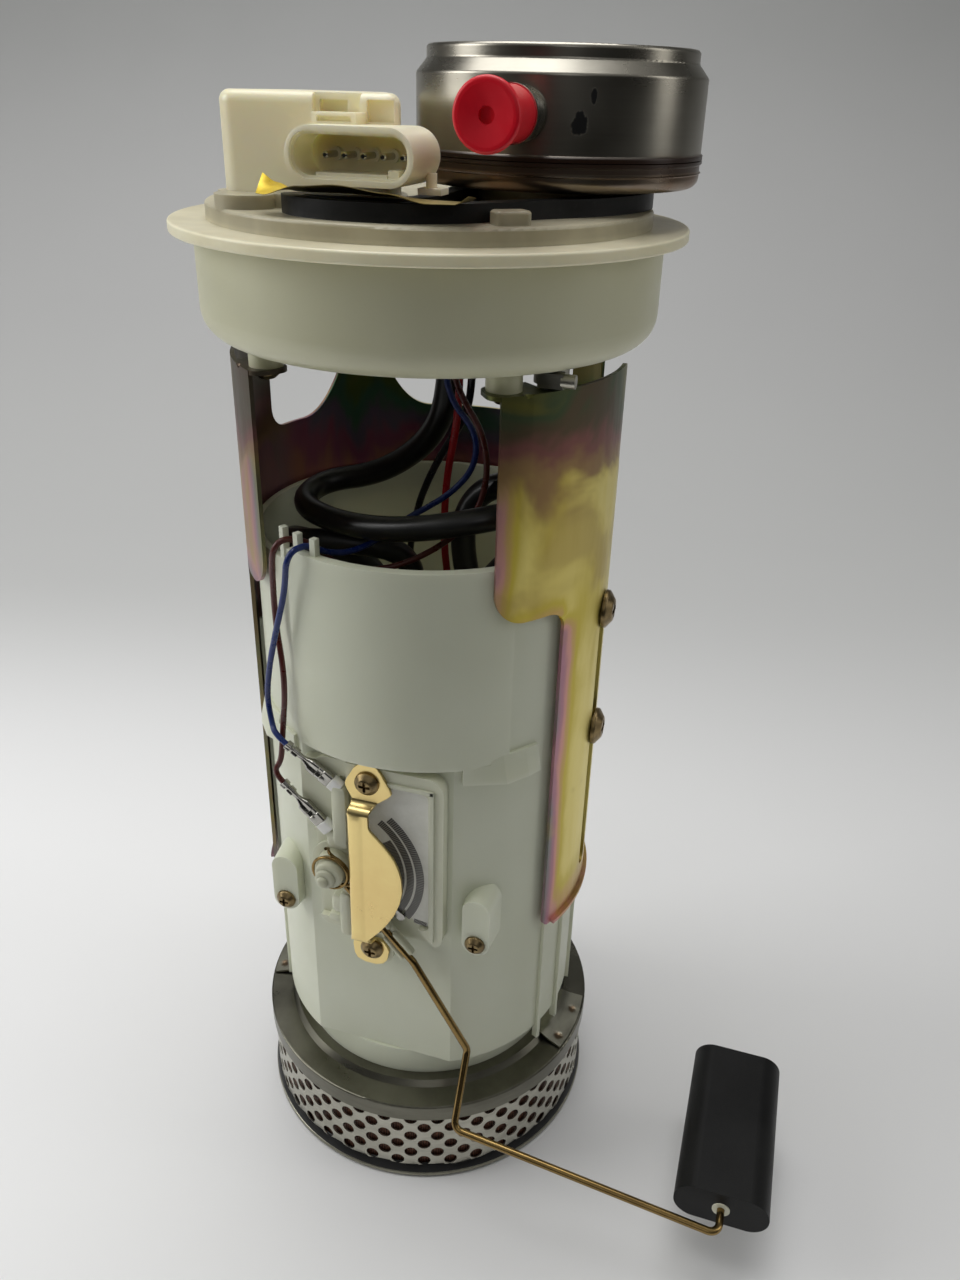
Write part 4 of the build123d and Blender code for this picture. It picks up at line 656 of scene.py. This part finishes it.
def tube_line(name, points, radius, slot, node, body=None, look=None):
    """Round tube along a NURBS line with the route's points as its control points."""
    data = bpy.data.curves.new(name + "_line", "CURVE")
    data.dimensions = "3D"
    spline = data.splines.new("NURBS")
    spline.points.add(len(points) - 1)
    for spot, point in zip(spline.points, points):
        spot.co = (*[MM * value for value in point], 1.0)
    spline.order_u = 3
    spline.use_endpoint_u = True
    spline.resolution_u = 10
    data.bevel_depth = MM * radius
    data.bevel_resolution = 5
    data.use_fill_caps = True
    line = bpy.data.objects.new(name + "_line", data)
    bpy.context.collection.objects.link(line)
    graph = bpy.context.evaluated_depsgraph_get()
    mesh = bpy.data.meshes.new_from_object(line.evaluated_get(graph))
    bpy.data.objects.remove(line)
    piece = bpy.data.objects.new(name, mesh)
    bpy.context.collection.objects.link(piece)
    return finished(piece, slot, body, [node], sharp=50.0, look=look)


def crossing(piece):
    """The piece runs between the reservoir and the flange; this only bakes its placing into its mesh."""
    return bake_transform(piece)


def barrel_mouth(index, back=0.0):
    """Where a lead enters its terminal, or a distance back along that terminal's line."""
    x, z, angle = TERMINALS[index]
    reach = 0.4 - back
    return (x + reach * math.cos(math.radians(angle)), TERMINAL_Y, z + reach * math.sin(math.radians(angle)))


# Name: (CAD node, radius, slot, start height, not used except that None keeps the line on the reservoir,
# points of the route).
ROUTES = {
    "supply_line": ("supply_hose", 3.65, "supply_tube", 240.0, [
        (8, -6, 290), (8, -6, 274), (0, -1.5, 258), (-18, 2.5, 244.6), (-37, 0, 240.8),
        (-37, -17, 238.8), (-18, -27.5, 238.8), (4, -33, 241.8), (26, -32, 247.6), (40, -19, 249),
        (43, 0, 243), (34, 18, 228), (16, 19, 210), (8, 10, 196), (8, 10, 164)]),
    "return_line": ("return_hose", 3.65, "return_tube", 236.0, [
        (42.5, -27, 290), (42.5, -27, 272), (35, -19.5, 256.5), (20, -15.5, 250.4), (15.4, -18, 238),
        (20, -18.5, 216), (27.5, -18, 186), (28, -16, 130), (28, -12, 70)]),
    "jet_line": ("jet_hose", 3.65, "return_tube", None, [
        (-1.5, -3, 164), (-1.5, -3, 192), (-1.5, -11.5, 208), (-1.5, -12.5, 226), (-17, -22.5, 231.6),
        (-40, -23, 229), (-42, -6, 223.5), (-11, -8.5, 218), (-10.5, -26, 197), (-26, -32, 184),
        (-26, -32, 53)]),
    "blue_line": ("wire_blue", 0.9, "lead_blue", 236.0, [
        (10.8, -18.5, 288.6), (10.8, -18.5, 283), (13.2, -18.4, 275.4), (18.6, -18.2, 269.8),
        (20.4, -18.2, 263.6), (18.8, -18.4, 256.4), (12.8, -18.6, 249.4), (5.8, -18.6, 244.2),
        (0, -20, 240.6), (-5, -24, 236.2), (-11.6, -34, 233.4), (-16, -42.6, 236), (-18.6, -49, 241),
        (-21.6, -55.8, 240), (-24.2, -52.9, 227.5), (-28.1, -52.3, 214.7), (-32.8, -49.8, 200.1),
        (-35.3, -48.3, 188.1), (-33.6, -49.7, 180.1), barrel_mouth(0, 4.5), barrel_mouth(0)]),
    "brown_line": ("wire_brown", 0.9, "lead_brown", 236.0, [
        (14, -20.9, 288.6), (14, -20.9, 283.6), (17.4, -20.9, 276.6), (21.8, -21, 270.4),
        (24.2, -21.4, 263.2), (24.4, -22, 255), (22.4, -22.8, 247), (17, -23.8, 239.6),
        (7.2, -24.6, 231.6), (-3.6, -28.4, 226.8), (-14, -38, 229.4), (-21.5, -41.8, 239),
        (-28, -51.4, 242), (-30.8, -47.7, 225.2), (-30.9, -47.3, 211.7), (-28.5, -49.4, 200.7),
        (-28.2, -50.2, 190.6), (-29.7, -49.3, 181.9), (-29.7, -51, 175.5), (-30.2, -51.8, 167.8),
        barrel_mouth(1, 4.5), barrel_mouth(1)]),
    "red_line": ("wire_red", 1.1, "lead_red", 230.0, [
        (13.6, -14.2, 288.6), (13.6, -14.2, 282), (12.8, -13.8, 268), (9.8, -13, 253.6),
        (8.8, -12.4, 241.4), (8.8, -12.2, 230), (9.4, -11, 220), (8, -2, 204), (0, 5.2, 190),
        (-8, 5, 181), (-9, 5, 174), (-9, 5, 166)]),
    "black_line": ("wire_black", 1.1, "lead_black", 230.0, [
        (17.9, -16.3, 288.6), (17.9, -16.3, 283), (14.8, -10.4, 270.6), (6.4, -9, 257.4),
        (0.6, -8, 245.4), (-2.8, -6, 235.8), (-8, 2, 220), (-11.6, 12, 200), (-9, 16, 174),
        (-9, 16, 166)]),
}


def hoses_and_leads():
    for name, (node, radius, slot, start, points) in ROUTES.items():
        if start is None:
            tube_line(name, points, radius, slot, node, "reservoir_unit")
        else:
            crossing(tube_line(name, points, radius, slot, node))


def curve_through(stops, x):
    """Smooth height between stops of (x, height)."""
    for (x0, h0), (x1, h1) in zip(stops, stops[1:]):
        if x <= x1:
            t = max(0.0, (x - x0) / (x1 - x0))
            t = t * t * (3 - 2 * t)
            return h0 + (h1 - h0) * t
    return stops[-1][1]


def foil_tag():
    """Thin bare tag, bowed up along its front edge and turned over at its left end."""
    net = Net()
    near = [(-26, 0.35), (-22, 0.3), (-12, 2.7), (-3, 3.3), (9, 2.1), (19, 0.45), (25, 0.5), (29, 2.6)]
    far = [(-27, 4.4), (-22.5, 2.3), (-17, 0.6), (-3, 0.7), (9, 0.5), (20, 0.3), (25, 0.3), (28.5, 1.9)]
    rows = []
    for step in range(56):
        t = step / 55
        front_x, back_x = -24.5 + 52.5 * t, -26.2 + 53.2 * t
        front_y = -56.2 + 3.0 * max(0.0, t - 0.86) ** 0.8 * 3 + 4.0 * max(0.0, 0.1 - t) * 8
        row = []
        for side in range(7):
            s = side / 6
            bow = 0.35 * math.sin(math.pi * s)
            x = front_x + (back_x - front_x) * s
            y = front_y + (-45.8 - front_y) * s
            h = curve_through(near, front_x) * (1 - s) + curve_through(far, back_x) * s
            row.append((x, y, 329.55 + h + bow * (1 - abs(2 * t - 1))))
        rows.append(row)
    net.grid([list(reversed(row)) for row in rows])
    net.piece("foil_tag", "foil", "flange_unit", ["foil_label"], sharp=70.0, thick=0.12)


def steps_of(stops, value):
    """Straight-line reading between stops of (place, number)."""
    for (a, first), (b, second) in zip(stops, stops[1:]):
        if value <= b:
            return first + (second - first) * max(0.0, (value - a) / (b - a))
    return stops[-1][1]


def section(centre, across, out, half_w, half_h, power=2.0, groove=0.0, count=28):
    """Rounded outline in the plane of across and out, with a groove along the middle of its outer side."""
    ring = []
    for index in range(count):
        turn = 2 * math.pi * index / count
        u = half_w * math.copysign(abs(math.cos(turn)) ** (2 / power), math.cos(turn))
        v = half_h * math.copysign(abs(math.sin(turn)) ** (2 / power), math.sin(turn))
        if math.sin(turn) > 0:
            v -= groove * math.exp(-(u / (0.28 * half_w + 0.01)) ** 2)
        ring.append(tuple(c + u * a + v * o for c, a, o in zip(centre, across, out)))
    return ring


def block(net, x0, x1, y0, y1, z0, z1, power, taper):
    """Soft-edged moulded block that stands out towards -Y."""
    across, up = (1, 0, 0), (0, 0, 1)
    x, z, half_w, half_h = (x0 + x1) / 2, (z0 + z1) / 2, (x1 - x0) / 2, (z1 - z0) / 2
    rows = []
    for y, inset in ((y1, 0.0), (y0 + 0.6, 0.02), (y0 + 0.15, taper * 0.5), (y0, taper * 1.3)):
        rows.append(section((x, y, z), across, up, half_w - inset, half_h - inset, power))
    net.grid([list(reversed(row)) for row in rows], around=True, ends=True)


def guard_sheet():
    """Sheet guard with a joggle at each end, a raised spine and a D-shaped wing."""
    lug_y, sheet_y = 53.4, 57.35
    path = [(z, lug_y) for z in (93.9, 95.0, 97.0, 99.0, 101.0, 103.0, 104.3)]
    path += [(104.9, 53.5), (105.4, 54.0), (105.7, 55.4), (106.0, 56.8), (106.6, 57.3)]
    path += [(107.4 + 1.25 * index, sheet_y) for index in range(41)]
    path += [(158.2, 57.25), (159.0, 56.6), (159.4, 55.4), (159.8, 54.1), (160.4, 53.5), (161.2, lug_y)]
    path += [(162.4 + 1.2 * index, lug_y) for index in range(10)]
    path += [(174.0, lug_y), (174.5, lug_y)]
    left = [
        (93.9, -3.6), (95, -6.4), (96.5, -7.3), (101.6, -7.8), (104.3, -7.0), (105.2, -6.4),
        (106.6, -6.6), (157.4, -6.3), (159.4, -6.2), (161.2, -6.2), (164.2, -7.9), (166.0, -8.3),
        (167.6, -7.8), (172.2, -5.2), (173.6, -4.0), (174.5, -2.0)]
    lower_right = [
        (93.9, 0.2), (95, 2.8), (97, 4.2), (101.6, 5.0), (104.3, 3.0), (105.4, 0.6), (107.4, -0.9)]
    wing_right = [
        (109, 0.4), (112, 2.9), (116.5, 6.0), (121, 8.5), (126.2, 10.4), (131, 11.3), (136, 11.1),
        (140, 10.1), (143.5, 8.6), (147.7, 5.5), (150.4, 3.0), (152.2, 1.1), (153.4, 0.5)]
    upper_right = [
        (158.2, 0.4), (159.4, 0.8), (161.0, 2.6), (163.4, 5.6), (164.8, 6.7), (166.2, 6.4),
        (171.8, 3.4), (173.4, 2.4), (174.5, 0.6)]
    spine = [
        (0, -0.25), (0.35, 0.15), (0.9, 0.42), (2.2, 0.45), (3.6, 0.42), (4.2, 0.25), (4.7, 0.06), (5.2, 0.0)]
    spine_ends = [(106.5, 0.0), (108.0, 1.0), (156.0, 1.0), (157.6, 0.0)]
    net = Net()
    rows = []
    for z, y in path:
        x0 = steps_of(left, z)
        x1 = steps_of(lower_right + wing_right + upper_right, z)
        ridge = steps_of(spine_ends, z)
        row = []
        for index, (place, rise) in enumerate(spine):
            row.append((min(x0 + place, x1 - 0.05 * (8 - index)), -(y + rise * ridge), z))
        start = row[-1][0]
        for part in range(1, 8):
            row.append((start + (x1 - start) * part / 7, -y, z))
        rows.append(row)
    net.grid(rows)
    net.piece(
        "guard_sheet", "cover_zinc", "reservoir_unit", ["cover_plate"], sharp=40.0, thick=1.0, bevel=0.18)


def crimped_terminals():
    """Push-on receptacles: insulation crimp, wire crimp, neck, and a folded box with a seam."""
    # Distance along the terminal, half width, half height, squareness, depth of the groove.
    stations = [
        (0.3, 1.30, 1.25, 2.0, 0.0), (0.5, 1.55, 1.50, 2.2, 0.35), (2.1, 1.55, 1.50, 2.2, 0.35),
        (2.3, 1.05, 1.0, 2.0, 0.0), (2.9, 1.0, 0.95, 2.0, 0.0), (3.1, 1.40, 1.25, 2.4, 0.45),
        (5.0, 1.40, 1.25, 2.4, 0.45), (5.2, 0.95, 0.85, 2.0, 0.0), (6.6, 0.85, 0.70, 2.0, 0.25),
        (8.0, 1.15, 0.80, 2.6, 0.35), (9.3, 1.90, 0.95, 3.0, 0.35), (9.8, 2.35, 1.20, 4.0, 0.45),
        (12.6, 2.42, 1.22, 4.5, 0.45), (12.8, 2.30, 1.05, 4.5, 0.75), (14.4, 2.30, 1.05, 4.5, 0.75),
        (14.6, 2.42, 1.22, 4.5, 0.45), (17.7, 2.42, 1.22, 4.5, 0.45), (18.0, 2.15, 0.95, 4.0, 0.25)]
    socket = [(17.9, 2.0, 1.3), (18.1, 2.3, 1.6), (21.4, 2.3, 1.6), (21.7, 2.0, 1.3)]
    net, sockets = Net(), Net()
    for x, z, angle in TERMINALS:
        cos, sin = math.cos(math.radians(angle)), math.sin(math.radians(angle))
        across, out = (-sin, 0.0, cos), (0.0, -1.0, 0.0)
        rows = []
        for distance, wide, tall, power, groove in stations:
            centre = (x + distance * cos, TERMINAL_Y, z + distance * sin)
            rows.append(section(centre, across, out, wide, tall, power, groove, 36))
        net.grid(rows, around=True, ends=True)
        rows = []
        for distance, wide, tall in socket:
            centre = (x + distance * cos, TERMINAL_Y + 0.2, z + distance * sin)
            rows.append(section(centre, across, out, wide, tall, 5.0))
        sockets.grid(rows, around=True, ends=True)
    net.piece("crimped_terminals", "contact", "reservoir_unit", ["receptacles"], sharp=38.0)
    sockets.piece("terminal_sockets", "cup_plastic", "reservoir_unit", [], sharp=38.0, look=SOCKET_LOOK)


def turned_towards_front(net, x, z, profile, count=40):
    """Solid of revolution about a line along -Y, from (radius, distance out) stops."""
    turns = [2 * math.pi * index / count for index in range(count)]
    rows = []
    for radius, out in profile:
        ring = [(x + radius * math.cos(turn), -out, z + radius * math.sin(turn)) for turn in turns]
        rows.append(list(reversed(ring)))
    net.grid(rows, around=True, ends=True)


def hub_moulding():
    """Hub with a rounded nose set off its centre, and the bar that holds the float wire."""
    net = Net()
    turned_towards_front(net, HUB_X, HUB_Z, [
        (6.0, 51.3), (6.0, 53.9), (5.7, 54.3), (4.9, 54.4), (4.8, 54.8), (4.8, 57.3), (4.5, 57.9),
        (3.9, 58.2), (0.2, 58.25)])
    turned_towards_front(net, HUB_X - 0.7, HUB_Z - 0.9, [
        (3.4, 57.6), (3.4, 58.7), (3.1, 59.1), (2.4, 59.3), (1.9, 59.35)])
    turned_towards_front(net, HUB_X - 1.3, HUB_Z - 1.5, [
        (2.0, 58.7), (2.0, 59.6), (1.7, 60.1), (1.1, 60.45), (0.3, 60.55)])

    angle = math.radians(-49.0)
    cos, sin = math.cos(angle), math.sin(angle)
    across, out = (-sin, 0.0, cos), (0.0, -1.0, 0.0)

    def at(distance, offset, y):
        return (HUB_X + distance * cos - offset * sin, y, HUB_Z + distance * sin + offset * cos)

    bar = ((3.0, 2.4), (4.0, 2.75), (38.2, 2.75), (38.8, 2.4))
    rows = [section(at(distance, 0.0, -53.3), across, out, half, 0.9, 5.0) for distance, half in bar]
    net.grid(rows, around=True, ends=True)
    for offset in (-2.1, 2.1):
        for start, end in ((20.0, 27.0), (29.0, 38.6)):
            jaw = ((start, 0.4, 0.7), (start + 0.4, 0.62, 1.05), (end - 0.4, 0.62, 1.05), (end, 0.4, 0.7))
            rows = [section(at(distance, offset, -54.3), across, out, wide, tall, 4.0)
                    for distance, wide, tall in jaw]
            net.grid(rows, around=True, ends=True)
    net.piece("hub_moulding", "hub_plastic", "float_arm", ["arm_hub"], sharp=40.0, look=HUB_LOOK)


def hub_spring_line():
    """Bronze spring wound round the hub, from its post down to the bar."""
    points = [(-13.4, -58.6, 143.2), (-13.3, -56.2, 141.8), (-14.2, -55.4, 139.4)]
    for index in range(1, 21):
        turn = math.radians(112 - 30 * index)
        radius = 6.25 if index < 12 else 6.05
        x, z = HUB_X + radius * math.cos(turn), HUB_Z + radius * math.sin(turn)
        points.append((x, -55.3 - 0.05 * index, z))
    points.append((-6.6, -56.0, 128.2))
    tube_line("hub_spring_line", points, 0.52, "contact", "hub_spring", "float_arm", LOOKS["arm_wire"])


def sheet_patch(net, columns):
    """Patch of the bracket's wall between (azimuth, low, high) columns, closed along its high edge."""
    for radius, inner in ((FILLET_OUT, False), (FILLET_IN, True)):
        rows = []
        for azimuth, low, high in columns:
            row = [polar(azimuth, radius, low + (high - low) * part / 4) for part in range(5)]
            rows.append(list(reversed(row)) if inner else row)
        net.grid(rows)
    edge = []
    for azimuth, _, high in columns:
        edge.append([polar(azimuth, FILLET_OUT, high), polar(azimuth, FILLET_IN, high)])
    net.grid(edge)


def fold_fillets():
    """Corner fillets of the bracket sheet: flares at the foot of each neck, and each wing's inner corner."""
    net = Net()
    for side in (-1, 1):
        for edge, way in ((128.0, -1), (144.0, 1)):
            columns = []
            for step in range(19):
                part = step / 18
                azimuth = edge + way * (-0.4 + 17.4 * part)
                columns.append((side * azimuth, 253.6, 253.96 + 17.0 * (1 - part) ** 2.3))
            if way * side < 0:
                columns.reverse()
            sheet_patch(net, columns)
        columns = []
        for step in range(13):
            part = step / 12
            depth = 6.5 * (1 - math.sqrt(max(0.0, 1 - (1 - part) ** 2)))
            columns.append((side * (62.3 - 6.8 * part), 222.25 - depth, 222.8))
        if side > 0:
            columns.reverse()
        sheet_patch(net, columns)
    net.piece("fold_fillets", "zinc", "flange_unit", [], sharp=30.0)


def housing_blocks():
    """Raised mouldings at the free side of the sensor: the pivot's guide, two stops and a low frame."""
    net = Net()
    for x0, x1, y0, y1, z0, z1, power in (
            (-12.8, -8.0, -54.4, -51.5, 141.5, 164.0, 6.0),
            (-15.5, -8.4, -53.4, -50.0, 139.6, 146.0, 4.0),
            (-14.6, -9.2, -54.0, -50.0, 113.5, 120.6, 4.0),
            (-11.6, -7.6, -54.6, -51.0, 104.8, 122.5, 6.0),
            (-16.2, -10.0, -53.2, -50.0, 108.6, 111.6, 4.0)):
        block(net, x0, x1, y0, y1, z0, z1, power, 0.25)
    for x0, x1, z0, z1 in ((18.6, 20.2, 108.5, 168.5), (4.0, 20.2, 166.9, 168.5)):
        block(net, x0, x1, -52.9, -51.9, z0, z1, 8.0, 0.15)
    net.piece("housing_blocks", "sensor_plastic", "reservoir_unit", [], sharp=40.0)


def clip_sheets():
    """Spot-welded clips that bridge the stamped step, from the reservoir's foot to the rim."""
    net = Net()
    near, far = 47.6, 61.7
    fall = [(53.6, 0.0), (56.0, 1.0), (62.0, 1.95)]
    for side in (-1, 1):
        rows = []
        for step in range(45):
            azimuth = 71.6 + 25.4 * step / 44
            row = []
            for part in range(22):
                radius = near + (far - near) * part / 21
                x, y, z = polar(azimuth, radius, 40.05 - steps_of(fall, radius))
                for weld_azimuth, weld_radius in CLIP_WELDS:
                    weld_x, weld_y, _ = polar(weld_azimuth, weld_radius, 0)
                    z -= 0.4 * math.exp(-math.hypot(x - weld_x, y - weld_y) ** 2)
                row.append((side * x, y, z))
            rows.append(row)
        net.grid(rows if side > 0 else [list(reversed(row)) for row in rows])
    net.piece(
        "clip_sheets", "stainless", "reservoir_unit", ["clip_plates"],
        sharp=40.0, thick=0.8, look=clip_look())


def dress():
    filter_band()
    clip_sheets()
    fold_fillets()
    guard_sheet()
    crimped_terminals()
    hub_moulding()
    hub_spring_line()
    housing_blocks()
    potting_bead()
    hoses_and_leads()
    foil_tag()


# Studio.
def stage_sweep():
    """Pale floor that curves up into the backdrop, with painted light: the floor paler towards -X and at the
    front, the backdrop darker higher up.
    """
    profile = []
    for step in range(3):
        profile.append((-0.42 + 0.3 * step, 0.0))
    start, bend, top = 0.55, 0.9, 3.0
    for step in range(17):
        a = math.pi / 2 * step / 16
        profile.append((start + bend * math.sin(a), bend - bend * math.cos(a)))
    profile.append((start + bend, top))
    mesh = bmesh.new()
    rows = []
    for out, up in profile:
        rows.append([mesh.verts.new((x, out, up - 0.0005)) for x in (-3.0, 3.0)])
    for lower, upper in zip(rows, rows[1:]):
        mesh.faces.new((lower[0], lower[1], upper[1], upper[0]))
    data = bpy.data.meshes.new("sweep")
    mesh.to_mesh(data)
    sweep = bpy.data.objects.new("sweep", data)
    for face in data.polygons:
        face.use_smooth = True
    sweep.matrix_world = Matrix.Rotation(math.radians(16.6), 4, "Z")
    bpy.context.collection.objects.link(sweep)
    look = Look("sweep_look")
    x, y, z = look.xyz()
    cloth = look.noise(5.0, 3.0, 0.5)
    # Painted light on the floor: paler towards -X, darker towards the back.
    floor = look.ramp(look.span(x, -0.7, 0.8), [(0.0, (0.88, 0.88, 0.885)), (1.0, (0.62, 0.62, 0.62))])
    floor = look.mix(look.span(y, 0.10, 0.46), floor, (0.52, 0.522, 0.517))
    # Painted shade on the backdrop: darker higher up, most of all towards -X.
    height = look.span(z, 0.0, 1.3)
    near = look.ramp(height, [
        (0.0, (0.50, 0.50, 0.498)), (0.35, (0.35, 0.353, 0.347)), (1.0, (0.215, 0.218, 0.209))])
    far = look.ramp(height, [
        (0.0, (0.50, 0.50, 0.498)), (0.35, (0.39, 0.393, 0.387)), (1.0, (0.31, 0.315, 0.302))])
    wall = look.mix(look.span(x, -0.9, 0.9), near, far)
    base = look.mix(look.span(z, 0.0, 0.12), floor, wall)
    pale = look.span(cloth, 0.3, 0.7, 0.0, 0.05)
    look.set(Base_Color=look.mix(pale, base, (0.62, 0.62, 0.61)), Roughness=0.6)
    data.materials.append(look.material)


def area_lamp(name, place, aim, size, power, colour=(1, 1, 1), size_y=None):
    data = bpy.data.lights.new(name, "AREA")
    data.energy = power
    data.color = colour
    data.shape = "RECTANGLE"
    data.size = size
    data.size_y = size_y or size
    lamp = bpy.data.objects.new(name, data)
    lamp.location = place
    lamp.rotation_euler = (Vector(aim) - Vector(place)).to_track_quat("-Z", "Y").to_euler()
    bpy.context.collection.objects.link(lamp)
    return lamp


def room():
    """Dim room, paler overhead than at the height of the object, with a plain pale backdrop."""
    world = bpy.data.worlds.new("room")
    world.use_nodes = True
    tree = world.node_tree
    place = tree.nodes.new("ShaderNodeTexCoord").outputs["Generated"]
    split = tree.nodes.new("ShaderNodeSeparateXYZ")
    tree.links.new(place, split.inputs[0])
    span = tree.nodes.new("ShaderNodeMapRange")
    tree.links.new(split.outputs[2], span.inputs[0])
    for index, value in ((1, 0.12), (2, 0.9), (3, 0.012), (4, 0.35)):
        span.inputs[index].default_value = value
    seen = tree.nodes.new("ShaderNodeMix")
    tree.links.new(tree.nodes.new("ShaderNodeLightPath").outputs["Is Camera Ray"], seen.inputs[0])
    tree.links.new(span.outputs[0], seen.inputs[2])
    seen.inputs[3].default_value = 0.42
    tree.links.new(seen.outputs[0], tree.nodes["Background"].inputs[1])
    tree.nodes["Background"].inputs[0].default_value = (1.0, 1.0, 0.98, 1)
    bpy.context.scene.world = world


def studio():
    stage_sweep()
    room()
    area_lamp("top", (-0.2, 0.2, 1.45), (0, 0.08, 0.1), 1.1, 13.5)
    area_lamp("left", (-1.3, -0.45, 0.8), (0, 0, 0.2), 0.7, 9.0, (1.0, 1.0, 0.99), 0.9)
    area_lamp("right", (1.25, 0.25, 0.75), (0, 0, 0.2), 0.4, 2.1, (1.0, 0.99, 0.96), 0.9)
    area_lamp("front", (0.5, -1.4, 0.9), (0, 0, 0.15), 0.5, 0.6)


def camera():
    ahead = Vector((-0.2517, 0.8454, -0.4711)).normalized()
    level = ahead.cross(Vector((0, 0, 1))).normalized()
    over = level.cross(ahead)
    roll = 0.028
    right = math.cos(roll) * level + math.sin(roll) * over
    up = math.cos(roll) * over - math.sin(roll) * level
    data = bpy.data.cameras.new("camera")
    data.sensor_fit = "VERTICAL"
    data.sensor_height = 24.0
    focal_pixels, frame_pixels = 1034.9, 1280.0
    data.lens = data.sensor_height * focal_pixels / frame_pixels
    data.clip_start = 0.01
    data.clip_end = 20.0
    eye = bpy.data.objects.new("camera", data)
    turn = Matrix((right, up, -ahead)).transposed().to_4x4()
    eye.matrix_world = Matrix.Translation((0.1028, -0.2872, 0.3529)) @ turn
    bpy.context.collection.objects.link(eye)
    bpy.context.scene.camera = eye


dress()
studio()
camera()
bpy.context.scene.view_settings.view_transform = "Standard"
